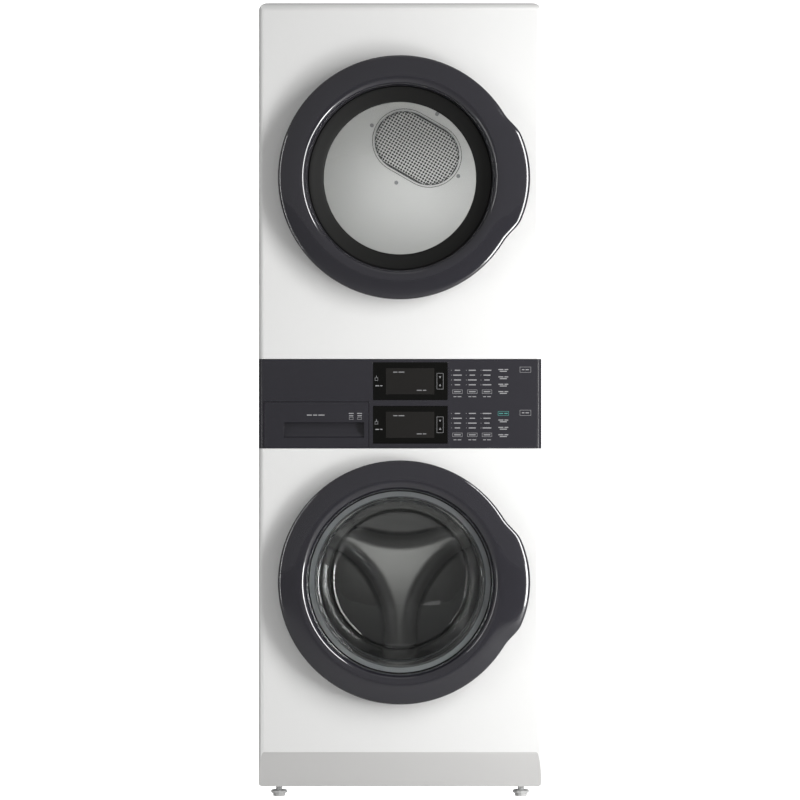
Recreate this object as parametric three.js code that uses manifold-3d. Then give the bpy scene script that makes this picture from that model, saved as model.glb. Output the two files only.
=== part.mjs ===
// A 27 inch laundry tower: a front-loading washer with a vented dryer stacked on it, and one
// control console between them. Millimetres, +Z up, the doors face -Y. The origin is on the floor,
// under the middle of the whole object. Depths are counted from the flat front face of the cabinet.
import * as THREE from "three";
import { mergeVertices } from "three/addons/utils/BufferGeometryUtils.js";
import Module from "manifold-3d";

const wasm = await Module();
wasm.setup();

// ---- Driving dimensions ---------------------------------------------------------------------

const WIDTH = 686; // cabinet, side to side
const HEIGHT = 1930; // floor to the top cover
const CABINET_DEPTH = 738; // front face to rear face
const DOOR_PROUD = 52; // door crown in front of the front face
const REAR_PROUD = 20; // exhaust collar and water nozzles behind the rear face
const FOOT_HEIGHT = 28; // floor to the base frame
const CONSOLE_BOTTOM = 848;
const CONSOLE_TOP = 1064;

const SHEET = 1.2; // steel sheet of the cabinet
const GAP = 0.5; // between pieces that touch
const PANEL_RETURN = 30; // how far the front panels turn back at their edges
const EDGE_RADIUS = 14; // upright front edges
const TOP_RADIUS = 24; // rolled top edge and top corners
const BOTTOM_RADIUS = 10; // lower corners of the washer front
const KICK_TOP = 112; // where the washer front starts to slope back
const KICK_SETBACK = 12;

const WASHER_AXIS = 526; // height of the washer door and drum axis
const DRYER_AXIS = 1501;
const DOOR_RADIUS = 294;
const DOOR_RIM_DEPTH = 44; // outer rim of the door ring, in front of the front face
const DOOR_CLEARANCE = 8; // back of the door to the front face
const WINDOW_RADIUS = 221.5; // inner edge of the door ring
const RING_WALL = 3;
const HANDLE_RISE = 19.5; // how far the handle bulges out of the ring
const HANDLE_HALF_ANGLE = 26; // degrees
const WASHER_MOUTH = 222; // opening in the washer front
const DRYER_MOUTH = 215;

const DRUM_RADIUS = 280;
const TUB_RADIUS = DRUM_RADIUS + 20;
const TUB_WALL = 3;
const TUB_FRONT = 84; // depth of the tub's front wall
const TUB_SPLIT = 330; // depth of the joint between the tub halves
const TUB_REAR = 575;
const DRUM_WALL = 1.5;
const DRUM_FRONT = 95;
const DRUM_REAR = 545;
const DRUM_MOUTH = 200;
const SHAFT_RADIUS = 17;
const DRUM_PULLEY_RADIUS = 150;
const MOTOR_PULLEY_RADIUS = 20;
const PULLEY_DEPTH = 606;
const PULLEY_WIDTH = 22;
const MOTOR_AXIS = 148;
const SPRING_X = TUB_RADIUS - 38;
const DAMPER_X = TUB_RADIUS / 2;
const SUSPENSION_DEPTH = 345;

const DRYER_DRUM_RADIUS = 318;
const DRYER_DRUM_WALL = 1.2;
const DRYER_DRUM_FRONT = 50;
const DRYER_DRUM_REAR = 636;
const BLOWER_X = 190;
const BLOWER_AXIS = 1150;
const BLOWER_RADIUS = 64;
const EXHAUST_RADIUS = 51;
const EXHAUST_X = -60;
const EXHAUST_Z = 1123;
const BELT_PULLEY_RADIUS = 12;

const DRAWER_LEFT = -330;
const DRAWER_RIGHT = -75;
const DRAWER_TOP = 961;
const DISPLAY_LEFT = -65;
const DISPLAY_RIGHT = 115;
const DISPLAY_HEIGHT = 91;
const DRYER_DISPLAY_BOTTOM = 965;
const WASHER_DISPLAY_BOTTOM = 859.5;

const HINGE_X = 16 - DOOR_RADIUS; // door hinge pins
const HINGE_PROUD = 26;
const LATCH_X = WASHER_MOUTH + 28; // latch slots, beside the door openings

const FOOT_X = WIDTH / 2 - 48;
const FOOT_FRONT_DEPTH = 55;
const FOOT_REAR_DEPTH = CABINET_DEPTH - 48;

// Steps round a circle
const FRAME_ROUND = 64; // black window frame
const RING_ROUND = 42;
const LARGE_ROUND = 32;
const MIDDLE_ROUND = 24;
const SMALL_ROUND = 16;
const STUD_ROUND = 12;
const CURVE_STEPS = 4; // along an arc of a drawn outline
const GRILLE_STEPS = 14;

const HALF = WIDTH / 2;
const FRONT = DOOR_PROUD - (DOOR_PROUD + CABINET_DEPTH + REAR_PROUD) / 2; // y of the front face
const INSIDE = HALF - SHEET - GAP; // half width left inside the cabinet sides

// ---- Materials ------------------------------------------------------------------------------

const finish = (color, roughness, metalness) =>
  new THREE.MeshStandardMaterial({ color, roughness, metalness });
const WHITE_ENAMEL = finish(0xf2f2f0, 0.35, 0);
const GALVANISED = finish(0xb4b8ba, 0.45, 0.9);
const FASCIA_PLASTIC = finish(0x37363b, 0.3, 0);
const RING_PLASTIC = finish(0x38373d, 0.22, 0);
const BLACK_GLASS = finish(0x121213, 0.12, 0);
const BLACK_PLASTIC = finish(0x232322, 0.4, 0);
const CLEAR_GLASS = finish(0xc8d0d0, 0.04, 0);
const STAINLESS = finish(0xa9aaa8, 0.25, 1);
const TUB_PLASTIC = finish(0x8f9294, 0.6, 0);
const GASKET_RUBBER = finish(0x6b6d70, 0.7, 0);
const CAST_ALUMINIUM = finish(0x9c9fa1, 0.5, 1);
const CONCRETE = finish(0x8d8b86, 0.95, 0);
const ZINC_STEEL = finish(0xb9bcc0, 0.35, 1);
const BELT_RUBBER = finish(0x1c1c1d, 0.8, 0);
const WHITE_PLASTIC = finish(0xe6e7e6, 0.45, 0);
const DRUM_ENAMEL = finish(0xc9c8c5, 0.4, 0);

// ---- Solids ---------------------------------------------------------------------------------

// A closed geometry as a solid, with the empty triangles at a pole of a lathe left out.
function solid(geometry) {
  const bare = geometry.clone();
  bare.deleteAttribute("normal");
  bare.deleteAttribute("uv");
  const merged = mergeVertices(bare, 1e-3);
  const corners = merged.index.array;
  const kept = [];
  for (let i = 0; i < corners.length; i += 3) {
    const [a, b, c] = [corners[i], corners[i + 1], corners[i + 2]];
    if (a !== b && b !== c && c !== a) kept.push(a, b, c);
  }
  return new wasm.Manifold(
    new wasm.Mesh({
      numProp: 3,
      vertProperties: merged.attributes.position.array,
      triVerts: new Uint32Array(kept),
    }),
  );
}

const root = new THREE.Group();

// Adds a named piece to the assembly.
function piece(name, body, material) {
  const made = body.getMesh();
  const geometry = new THREE.BufferGeometry()
    .setAttribute("position", new THREE.BufferAttribute(made.vertProperties, 3))
    .setIndex(new THREE.BufferAttribute(made.triVerts, 1));
  geometry.computeVertexNormals();
  const mesh = new THREE.Mesh(geometry, material);
  mesh.name = name;
  root.add(mesh);
}

const join = (...bodies) => bodies.reduce((all, b) => all.add(b));
const cut = (body, ...tools) => tools.reduce((left, t) => left.subtract(t), body);

// A box between two x, two depths behind the front face and two heights.
function box(x0, x1, depth0, depth1, z0, z1) {
  const geometry = new THREE.BoxGeometry(x1 - x0, depth1 - depth0, z1 - z0);
  geometry.translate((x0 + x1) / 2, FRONT + (depth0 + depth1) / 2, (z0 + z1) / 2);
  return solid(geometry);
}

function extrude(shape, length, steps = CURVE_STEPS) {
  return new THREE.ExtrudeGeometry(shape, {
    depth: length,
    bevelEnabled: false,
    curveSegments: steps,
  });
}

// A shape in x and depth, drawn up from one height to another.
function upright(shape, z0, z1) {
  return solid(extrude(shape, z1 - z0).translate(0, FRONT, z0));
}

// A shape in x and z, drawn back from one depth to another.
function drawnBack(shape, depth0, depth1, steps) {
  const geometry = extrude(shape, depth1 - depth0, steps).rotateX(Math.PI / 2);
  return solid(geometry.translate(0, FRONT + depth1, 0));
}

// A shape in depth and z, drawn across from one x to another.
function drawnAcross(shape, x0, x1) {
  const toSide = new THREE.Matrix4().set(0, 0, 1, x0, 1, 0, 0, FRONT, 0, 1, 0, 0, 0, 0, 0, 1);
  return solid(extrude(shape, x1 - x0).applyMatrix4(toSide));
}

function polygon(points) {
  return new THREE.Shape(points.map(([a, b]) => new THREE.Vector2(a, b)));
}

function circle(x, z, radius) {
  return new THREE.Shape().absarc(x, z, radius, 0, 2 * Math.PI);
}

// A profile of [radius, depth] points turned about an axis that runs front to back at x, z.
function turnedGeometry(profile, segments) {
  const points = profile.map(([r, depth]) => new THREE.Vector2(r, depth));
  if (THREE.ShapeUtils.area(points) < 0) points.reverse();
  return new THREE.LatheGeometry([...points, points[0]], segments);
}

function turned(profile, x, z, segments = LARGE_ROUND) {
  return solid(turnedGeometry(profile, segments).translate(x, FRONT, z));
}

// The same about an upright axis, with [radius, height] points.
function turnedUpright(profile, x, depth, segments = STUD_ROUND) {
  const geometry = turnedGeometry(profile, segments).rotateX(Math.PI / 2);
  return solid(geometry.translate(x, FRONT + depth, 0));
}

// A tube or a rod about a front-to-back axis.
function tube(outer, inner, depth0, depth1, x, z, segments = LARGE_ROUND) {
  return turned([[inner, depth0], [outer, depth0], [outer, depth1], [inner, depth1]], x, z, segments);
}

const rod = (radius, depth0, depth1, x, z, segments = SMALL_ROUND) =>
  tube(radius, 0, depth0, depth1, x, z, segments);

// A rod about an upright axis.
function post(radius, z0, z1, x, depth, segments = STUD_ROUND) {
  return turnedUpright([[0, z0], [radius, z0], [radius, z1], [0, z1]], x, depth, segments);
}

// ---- Cabinet --------------------------------------------------------------------------------

// Plan of a panel whose upright front edges are rounded.
function panelPlan(inset) {
  const half = HALF - inset;
  const radius = EDGE_RADIUS - inset;
  const back = PANEL_RETURN + inset;
  return new THREE.Shape()
    .moveTo(half, back)
    .lineTo(-half, back)
    .lineTo(-half, inset + radius)
    .absarc(-half + radius, inset + radius, radius, Math.PI, 1.5 * Math.PI)
    .lineTo(half - radius, inset)
    .absarc(half - radius, inset + radius, radius, 1.5 * Math.PI, 2 * Math.PI);
}

// Front view of a panel, with its own radius at the lower and at the upper corners.
function panelFace(inset, bottom, top, lowRadius, highRadius) {
  const half = HALF - inset;
  const [z0, z1] = [bottom + inset, top - inset];
  const [low, high] = [lowRadius, highRadius].map((r) => Math.max(r - inset, 0.5));
  return new THREE.Shape()
    .moveTo(-half, z1 - high)
    .lineTo(-half, z0 + low)
    .absarc(-half + low, z0 + low, low, Math.PI, 1.5 * Math.PI)
    .lineTo(half - low, z0)
    .absarc(half - low, z0 + low, low, 1.5 * Math.PI, 2 * Math.PI)
    .lineTo(half, z1 - high)
    .absarc(half - high, z1 - high, high, 0, 0.5 * Math.PI)
    .lineTo(-half + high, z1)
    .absarc(-half + high, z1 - high, high, 0.5 * Math.PI, Math.PI);
}

function washerSide(inset, bottom, top) {
  const back = PANEL_RETURN + inset;
  return polygon([
    [inset, top - inset],
    [inset, KICK_TOP],
    [KICK_SETBACK + inset, bottom + inset],
    [back, bottom + inset],
    [back, top - inset],
  ]);
}

function dryerSide(inset, bottom, top) {
  const back = PANEL_RETURN + inset;
  const radius = TOP_RADIUS - inset;
  return new THREE.Shape()
    .moveTo(back, top - inset)
    .lineTo(inset + radius, top - inset)
    .absarc(inset + radius, top - inset - radius, radius, 0.5 * Math.PI, Math.PI)
    .lineTo(inset, bottom + inset)
    .lineTo(back, bottom + inset);
}

// A front panel is a shallow tray: its plan, its side and its face are drawn and intersected,
// once for the outside and once, a wall in, for the inside.
function tray(side, bottom, top, wall, lowRadius, highRadius) {
  const block = (inset) =>
    upright(panelPlan(inset), bottom - 1, top + 1)
      .intersect(drawnAcross(side(inset, bottom, top), -HALF - 1, HALF + 1))
      .intersect(
        drawnBack(panelFace(inset, bottom, top, lowRadius, highRadius), -1, PANEL_RETURN + 2),
      );
  return block(0).subtract(block(wall));
}

// Turned-in rim of a door opening.
const RIM_DEPTH = 18;
const rim = (radius, z) => tube(radius + SHEET, radius, SHEET / 2, RIM_DEPTH, 0, z);
const hole = (radius, z) => rod(radius, -1, RIM_DEPTH + 1, 0, z, LARGE_ROUND);

function latchSlot(z) {
  return box(LATCH_X - 12, LATCH_X + 14, -1, SHEET + 1, z - 12, z + 12);
}

const WASHER_FRONT_TOP = CONSOLE_BOTTOM - GAP;
const DRYER_FRONT_TOP = HEIGHT - 1.5;

piece(
  "washer_front_panel",
  cut(
    join(
      tray(washerSide, FOOT_HEIGHT, WASHER_FRONT_TOP, SHEET, BOTTOM_RADIUS, 0),
      rim(WASHER_MOUTH, WASHER_AXIS),
    ),
    hole(WASHER_MOUTH, WASHER_AXIS),
    latchSlot(WASHER_AXIS),
  ),
  WHITE_ENAMEL,
);
piece(
  "dryer_front_panel",
  cut(
    join(
      tray(dryerSide, CONSOLE_TOP + GAP, DRYER_FRONT_TOP, SHEET, 0, TOP_RADIUS),
      rim(DRYER_MOUTH, DRYER_AXIS),
    ),
    hole(DRYER_MOUTH, DRYER_AXIS),
    latchSlot(DRYER_AXIS),
  ),
  WHITE_ENAMEL,
);

// A wrapper is the folded sheet that makes both sides and the narrow rear flanges. It is open at
// the front, the top and the bottom, and a cover closes its rear.
const WRAPPER_FRONT = PANEL_RETURN + GAP;
const REAR_FLANGE = 34;

function wrapper(bottom, top) {
  return cut(
    box(-HALF, HALF, WRAPPER_FRONT, CABINET_DEPTH, bottom, top),
    box(-HALF + SHEET, HALF - SHEET, 0, CABINET_DEPTH - SHEET, bottom - 1, top + 1),
    box(
      -HALF + REAR_FLANGE,
      HALF - REAR_FLANGE,
      CABINET_DEPTH - 10,
      CABINET_DEPTH + 1,
      bottom + REAR_FLANGE,
      top - REAR_FLANGE,
    ),
  );
}

const WASHER_WRAPPER = [FOOT_HEIGHT, CONSOLE_TOP];
const DRYER_WRAPPER = [CONSOLE_TOP + GAP, HEIGHT - TOP_RADIUS - 3];
piece("washer_wrapper", wrapper(...WASHER_WRAPPER), WHITE_ENAMEL);
const exhaustRod = (radius, depth0, depth1) =>
  rod(radius, depth0, depth1, EXHAUST_X, EXHAUST_Z, LARGE_ROUND);
const exhaustHoleThrough = (depth0, depth1) => exhaustRod(EXHAUST_RADIUS + 3, depth0, depth1);
const exhaustHole = exhaustHoleThrough(CABINET_DEPTH - 12, CABINET_DEPTH + 2);
piece("dryer_wrapper", cut(wrapper(...DRYER_WRAPPER), exhaustHole), WHITE_ENAMEL);

// A rear cover lies inside the wrapper's flanges, with its field pressed out through the opening.
const FIELD_INSET = 3;

function rearCover(bottom, top) {
  const back = CABINET_DEPTH - SHEET - GAP;
  const outer = HALF - REAR_FLANGE - FIELD_INSET;
  const low = bottom + REAR_FLANGE + FIELD_INSET;
  const high = top - REAR_FLANGE - FIELD_INSET;
  const lap = 14;
  return cut(
    join(
      box(-outer - lap, outer + lap, back - SHEET, back, low - lap, high + lap),
      box(-outer, outer, back - SHEET, CABINET_DEPTH - GAP, low, high),
    ),
    box(
      -outer + SHEET,
      outer - SHEET,
      back - SHEET - 1,
      CABINET_DEPTH - GAP - SHEET,
      low + SHEET,
      high - SHEET,
    ),
  );
}

const VALVE_X = 200;
const VALVE_Z = 985;
const VALVE_PITCH = 62;
const NOZZLE_RADIUS = 13;
const nozzleHoles = [-0.5, 0.5].map((k) =>
  rod(NOZZLE_RADIUS + 3, CABINET_DEPTH - 12, CABINET_DEPTH + 2, VALVE_X + k * VALVE_PITCH, VALVE_Z),
);
piece("washer_rear_cover", cut(rearCover(...WASHER_WRAPPER), ...nozzleHoles), GALVANISED);
piece("dryer_rear_cover", cut(rearCover(...DRYER_WRAPPER), exhaustHole), GALVANISED);

// Top cover: an inverted tray with rolled sides and a turned-down rear edge.
const topFace = (inset) =>
  panelFace(inset, HEIGHT - TOP_RADIUS - 2, HEIGHT, 0, TOP_RADIUS);
piece(
  "top_cover",
  cut(
    drawnBack(topFace(0), WRAPPER_FRONT, CABINET_DEPTH),
    drawnBack(topFace(SHEET), WRAPPER_FRONT - 1, CABINET_DEPTH - SHEET),
    box(-HALF + SHEET, HALF - SHEET, 0, CABINET_DEPTH - SHEET, HEIGHT - 60, HEIGHT - TOP_RADIUS),
  ),
  WHITE_ENAMEL,
);

// ---- Base frame and feet --------------------------------------------------------------------

const BASE_HEIGHT = 40;
const BASE_SHEET = 2;
const BASE_REAR = CABINET_DEPTH - 2 * SHEET - 2 * GAP;
const STUD_RADIUS = 5;
const STUD_TOP = FOOT_HEIGHT + 32;
const BOSS_RADIUS = 16;
const BOSS_HEIGHT = 18;
const PIN_CLEARANCE = 0.3; // of a pin or a stud in its hole
const feet = {
  foot_front_left: [-FOOT_X, FOOT_FRONT_DEPTH],
  foot_front_right: [FOOT_X, FOOT_FRONT_DEPTH],
  foot_rear_left: [-FOOT_X, FOOT_REAR_DEPTH],
  foot_rear_right: [FOOT_X, FOOT_REAR_DEPTH],
};

const bosses = Object.values(feet).map(([x, depth]) =>
  post(BOSS_RADIUS, FOOT_HEIGHT + 1, FOOT_HEIGHT + BOSS_HEIGHT, x, depth),
);
const studHoles = Object.values(feet).map(([x, depth]) =>
  post(STUD_RADIUS + PIN_CLEARANCE, 0, KICK_TOP, x, depth),
);
piece(
  "base_frame",
  cut(
    join(
      cut(
        box(-INSIDE, INSIDE, WRAPPER_FRONT, BASE_REAR, FOOT_HEIGHT, FOOT_HEIGHT + BASE_HEIGHT),
        box(
          -INSIDE + BASE_SHEET,
          INSIDE - BASE_SHEET,
          WRAPPER_FRONT + BASE_SHEET,
          BASE_REAR - BASE_SHEET,
          FOOT_HEIGHT + BASE_SHEET,
          FOOT_HEIGHT + BASE_HEIGHT + 1,
        ),
      ),
      ...bosses,
    ),
    ...studHoles,
  ),
  GALVANISED,
);

// A levelling foot: rubber pad, wide flange to turn it by, neck and threaded stud.
for (const [name, [x, depth]] of Object.entries(feet)) {
  const neckTop = FOOT_HEIGHT - GAP;
  const profile = [
    [0, 0], [14.5, 0], [14.5, 8], [19.5, 8], [19.5, 14], [7.5, 16], [7.5, neckTop],
    [STUD_RADIUS, neckTop], [STUD_RADIUS, STUD_TOP], [0, STUD_TOP],
  ];
  piece(name, turnedUpright(profile, x, depth), WHITE_PLASTIC);
}

// ---- Middle deck ----------------------------------------------------------------------------

const DECK_BOTTOM = CONSOLE_TOP + 2;
const DECK_FLANGE = 22;
const SPRING_TOP = 952;
const hanger = (x) =>
  box(x - 20, x + 20, SUSPENSION_DEPTH - 2, SUSPENSION_DEPTH + 2, SPRING_TOP, DECK_BOTTOM + 1);
piece(
  "middle_deck",
  join(
    cut(
      box(-INSIDE, INSIDE, WRAPPER_FRONT, BASE_REAR, DECK_BOTTOM, DECK_BOTTOM + DECK_FLANGE),
      box(
        -INSIDE + BASE_SHEET,
        INSIDE - BASE_SHEET,
        WRAPPER_FRONT + BASE_SHEET,
        BASE_REAR - BASE_SHEET,
        DECK_BOTTOM + BASE_SHEET,
        DECK_BOTTOM + DECK_FLANGE + 1,
      ),
      exhaustHoleThrough(BASE_REAR - 8, BASE_REAR + 1),
    ),
    hanger(-SPRING_X),
    hanger(SPRING_X),
  ),
  GALVANISED,
);

// ---- Console --------------------------------------------------------------------------------

const FASCIA_WALL = 3;
const fasciaSide = (inset, bottom, top) => {
  const bevel = 4;
  return polygon([
    [inset, bottom + bevel + inset],
    [inset + bevel / 2, bottom + inset],
    [PANEL_RETURN + inset, bottom + inset],
    [PANEL_RETURN + inset, top - inset],
    [inset + bevel / 2, top - inset],
    [inset, top - bevel - inset],
  ]);
};
const DISPLAY_GAP = 0.4;
const displayBox = (bottom, grow, depth0, depth1) =>
  box(
    DISPLAY_LEFT - grow,
    DISPLAY_RIGHT + grow,
    depth0,
    depth1,
    bottom - grow,
    bottom + DISPLAY_HEIGHT + grow,
  );

piece(
  "console_fascia",
  cut(
    tray(fasciaSide, CONSOLE_BOTTOM, CONSOLE_TOP, FASCIA_WALL, 0, 0),
    box(DRAWER_LEFT, DRAWER_RIGHT, -5, PANEL_RETURN + 5, CONSOLE_BOTTOM - 5, DRAWER_TOP),
    displayBox(DRYER_DISPLAY_BOTTOM, DISPLAY_GAP, -1, FASCIA_WALL + 1),
    displayBox(WASHER_DISPLAY_BOTTOM, DISPLAY_GAP, -1, FASCIA_WALL + 1),
  ),
  FASCIA_PLASTIC,
);
const DISPLAY_THICKNESS = 14;
piece("dryer_display", displayBox(DRYER_DISPLAY_BOTTOM, 0, -0.3, DISPLAY_THICKNESS), BLACK_GLASS);
piece("washer_display", displayBox(WASHER_DISPLAY_BOTTOM, 0, -0.3, DISPLAY_THICKNESS), BLACK_GLASS);

// ---- Dispenser ------------------------------------------------------------------------------

const DRAWER_FRONT_DEPTH = 24;
const DRAWER_GAP = 1;
const DRAWER_BOTTOM = CONSOLE_BOTTOM + 1;
const TRAY_LEFT = -318;
const TRAY_RIGHT = -90;
const TRAY_BOTTOM = 864;
const TRAY_TOP = 944;
const TRAY_LENGTH = 230;
const TRAY_WALL = 2.5;
const PULL_LEFT = -281;
const PULL_RIGHT = -87;
const PULL_LIP = 911; // lower edge of the lip that the fingers go under
const PULL_SILL = 874;

// The finger pull: a ramp up behind a lip.
const pull = drawnAcross(
  polygon([
    [-1, PULL_SILL], [0, PULL_SILL], [7, PULL_SILL + 6], [13, PULL_SILL + 16], [17, PULL_LIP + 2],
    [17, PULL_LIP + 12], [4, PULL_LIP + 12], [4, PULL_LIP], [-1, PULL_LIP],
  ]),
  PULL_LEFT,
  PULL_RIGHT,
);
piece(
  "drawer_front",
  cut(
    box(
      DRAWER_LEFT + DRAWER_GAP,
      DRAWER_RIGHT - DRAWER_GAP,
      0,
      DRAWER_FRONT_DEPTH,
      DRAWER_BOTTOM,
      DRAWER_TOP - DRAWER_GAP,
    ),
    pull,
    box(
      DRAWER_LEFT + 5,
      DRAWER_RIGHT - 5,
      DRAWER_FRONT_DEPTH - 4,
      DRAWER_FRONT_DEPTH + 1,
      DRAWER_BOTTOM + 4,
      DRAWER_TOP - 5,
    ),
  ),
  FASCIA_PLASTIC,
);

const trayBack = DRAWER_FRONT_DEPTH + TRAY_LENGTH;
const TRAY_DIVIDER = -190; // between the main cup and the two small ones
const SMALL_CUP_BACK = 130; // depth of the front small cup's rear wall
const SMALL_CUP_FLOOR = 12; // above the underside of the tray
const trayFront = DRAWER_FRONT_DEPTH + GAP + TRAY_WALL;
const trayRear = trayBack - TRAY_WALL;
const smallCup = (depth0, depth1) =>
  box(
    TRAY_DIVIDER + TRAY_WALL,
    TRAY_RIGHT - TRAY_WALL,
    depth0,
    depth1,
    TRAY_BOTTOM + SMALL_CUP_FLOOR,
    TRAY_TOP + 1,
  );
piece(
  "drawer_tray",
  cut(
    box(TRAY_LEFT, TRAY_RIGHT, DRAWER_FRONT_DEPTH + GAP, trayBack, TRAY_BOTTOM, TRAY_TOP),
    box(
      TRAY_LEFT + TRAY_WALL,
      TRAY_DIVIDER,
      trayFront,
      trayRear,
      TRAY_BOTTOM + TRAY_WALL,
      TRAY_TOP + 1,
    ),
    smallCup(trayFront, SMALL_CUP_BACK),
    smallCup(SMALL_CUP_BACK + TRAY_WALL, trayRear),
  ),
  WHITE_PLASTIC,
);

const HOUSING_CLEARANCE = 3;
const HOUSING_FRONT = PANEL_RETURN + 4;
piece(
  "dispenser_housing",
  cut(
    box(
      TRAY_LEFT - HOUSING_CLEARANCE - TRAY_WALL,
      TRAY_RIGHT + HOUSING_CLEARANCE + TRAY_WALL,
      HOUSING_FRONT,
      trayBack + 12,
      TRAY_BOTTOM - 1 - TRAY_WALL,
      TRAY_TOP + HOUSING_CLEARANCE + TRAY_WALL,
    ),
    box(
      TRAY_LEFT - HOUSING_CLEARANCE,
      TRAY_RIGHT + HOUSING_CLEARANCE,
      HOUSING_FRONT - 1,
      trayBack + 12 - TRAY_WALL,
      TRAY_BOTTOM - 1,
      TRAY_TOP + HOUSING_CLEARANCE,
    ),
  ),
  WHITE_PLASTIC,
);

// Water inlet valve: two solenoid bodies with nozzles that stand out of the rear.
const NOZZLE_BORE = 9;
const SOLENOID_RADIUS = 18;
const SOLENOID_REAR = CABINET_DEPTH - 13;
const valveNozzle = (k) => {
  const x = VALVE_X + k * VALVE_PITCH;
  return join(
    tube(
      NOZZLE_RADIUS,
      NOZZLE_BORE,
      SOLENOID_REAR - 1,
      CABINET_DEPTH + REAR_PROUD,
      x,
      VALVE_Z,
      SMALL_ROUND,
    ),
    rod(SOLENOID_RADIUS, CABINET_DEPTH - 60, SOLENOID_REAR, x, VALVE_Z),
  );
};
piece(
  "water_inlet_valve",
  join(
    box(
      VALVE_X - 52,
      VALVE_X + 52,
      CABINET_DEPTH - 70,
      CABINET_DEPTH - 34,
      VALVE_Z - 22,
      VALVE_Z + 22,
    ),
    valveNozzle(-0.5),
    valveNozzle(0.5),
  ),
  WHITE_PLASTIC,
);

// ---- Doors ----------------------------------------------------------------------------------

const RADIANS = Math.PI / 180;
const smooth = (t) => {
  const u = Math.min(1, Math.max(0, t));
  return u * u * (3 - 2 * u);
};

// How far the ring's rim stands out at an angle from the level line to the right.
function handleRise(angle) {
  const a = Math.abs(angle) / RADIANS;
  const crown = 1 - 0.38 * (a / HANDLE_HALF_ANGLE) ** 2;
  return HANDLE_RISE * crown * (1 - smooth((a - HANDLE_HALF_ANGLE + 6.5) / 12.5));
}

// A turned shell whose rim bulges into the handle. It fades out towards the window.
function ringBody(profile, z) {
  const geometry = turnedGeometry(profile, RING_ROUND);
  const p = geometry.attributes.position;
  for (let i = 0; i < p.count; i++) {
    const [x, y] = [p.getX(i), p.getZ(i)];
    const r = Math.hypot(x, y);
    const share = smooth((r - WINDOW_RADIUS - 12) / (DOOR_RADIUS - WINDOW_RADIUS - 20));
    const grown = 1 + (handleRise(Math.atan2(y, x)) * share) / r;
    p.setX(i, x * grown);
    p.setZ(i, y * grown);
  }
  return solid(geometry.translate(0, FRONT, z));
}

// Section of the ring, from the back of the rim over the crown to the window. Depths in front of
// the front face are negative.
const CREST_RADIUS = DOOR_RADIUS - 44;
const ringProfile = [
  [DOOR_RADIUS - 3, -DOOR_CLEARANCE],
  [DOOR_RADIUS, -18],
  [DOOR_RADIUS, -DOOR_RIM_DEPTH + 8],
  [DOOR_RADIUS - 8, -DOOR_RIM_DEPTH],
  [CREST_RADIUS + 14, -DOOR_PROUD + 2.5],
  [CREST_RADIUS, -DOOR_PROUD],
  [CREST_RADIUS - 13, -DOOR_PROUD + 2],
  [WINDOW_RADIUS + 3.5, -38.5],
  [WINDOW_RADIUS, -25],
  [WINDOW_RADIUS + RING_WALL, -25],
  [WINDOW_RADIUS + 6.5, -38],
  [CREST_RADIUS, -DOOR_PROUD + RING_WALL],
  [DOOR_RADIUS - 10, -DOOR_RIM_DEPTH + RING_WALL],
  [DOOR_RADIUS - RING_WALL, -DOOR_RIM_DEPTH + 10],
  [DOOR_RADIUS - RING_WALL, -18],
  [DOOR_RADIUS - RING_WALL - 3, -DOOR_CLEARANCE],
];

const ARM_NEAR = 46; // hinge arms, above and below the middle of the door
const ARM_FAR = 54;

// Slots in the ring and in the door's back that the hinge arms pass through as the door swings.
function armSlots(z, x1) {
  return [-1, 1].map((side) => {
    const [a, b] = [side * (ARM_NEAR - 3), side * (ARM_FAR + 3)];
    return box(-DOOR_RADIUS - 5, x1, -33, 0, z + Math.min(a, b), z + Math.max(a, b));
  });
}

// The fingers go into a pocket behind the handle.
const POCKET_REACH = 8;
const POCKET_DEPTH = 26;
const POCKET_HALF = 62;

function doorRing(name, z) {
  piece(
    name,
    cut(
      ringBody(ringProfile, z),
      ...armSlots(z, HINGE_X + 35),
      box(
        DOOR_RADIUS - POCKET_REACH,
        DOOR_RADIUS + HANDLE_RISE + 5,
        -POCKET_DEPTH,
        0,
        z - POCKET_HALF,
        z + POCKET_HALF,
      ),
    ),
    RING_PLASTIC,
  );
}

doorRing("washer_door_ring", WASHER_AXIS);
doorRing("dryer_door_ring", DRYER_AXIS);

const BACK_RADIUS = DOOR_RADIUS - 7.5;
const BACK_WALL = 3;
const LATCH_PIN_PROUD = 17;
const LATCH_PIN = 2.5;

// Back of the washer door: a flat ring with a step that carries the glass flange.
function washerBackProfile() {
  const back = -DOOR_CLEARANCE;
  return [
    [BACK_RADIUS, back], [BACK_RADIUS, back - BACK_WALL], [227, back - BACK_WALL], [225, -19],
    [206, -19], [206, -16], [221, -16], [223, back],
  ];
}

const upDown = (z, a, b) => [z + Math.min(a, b), z + Math.max(a, b)];
const pinPost = (z, side) =>
  box(
    LATCH_X - 5,
    LATCH_X + 5,
    -LATCH_PIN_PROUD - 4,
    -DOOR_CLEARANCE - 1,
    ...upDown(z, side * 7, side * 12),
  );

piece(
  "washer_door_back",
  join(
    cut(
      turned(washerBackProfile(), 0, WASHER_AXIS),
      ...armSlots(WASHER_AXIS, HINGE_X + 32),
      box(LATCH_X - 9, LATCH_X + 12, -12, 0, WASHER_AXIS - 6.5, WASHER_AXIS + 6.5),
    ),
    pinPost(WASHER_AXIS, -1),
    pinPost(WASHER_AXIS, 1),
    post(LATCH_PIN, WASHER_AXIS - 9, WASHER_AXIS + 9, LATCH_X, -LATCH_PIN_PROUD, SMALL_ROUND),
  ),
  BLACK_PLASTIC,
);

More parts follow.
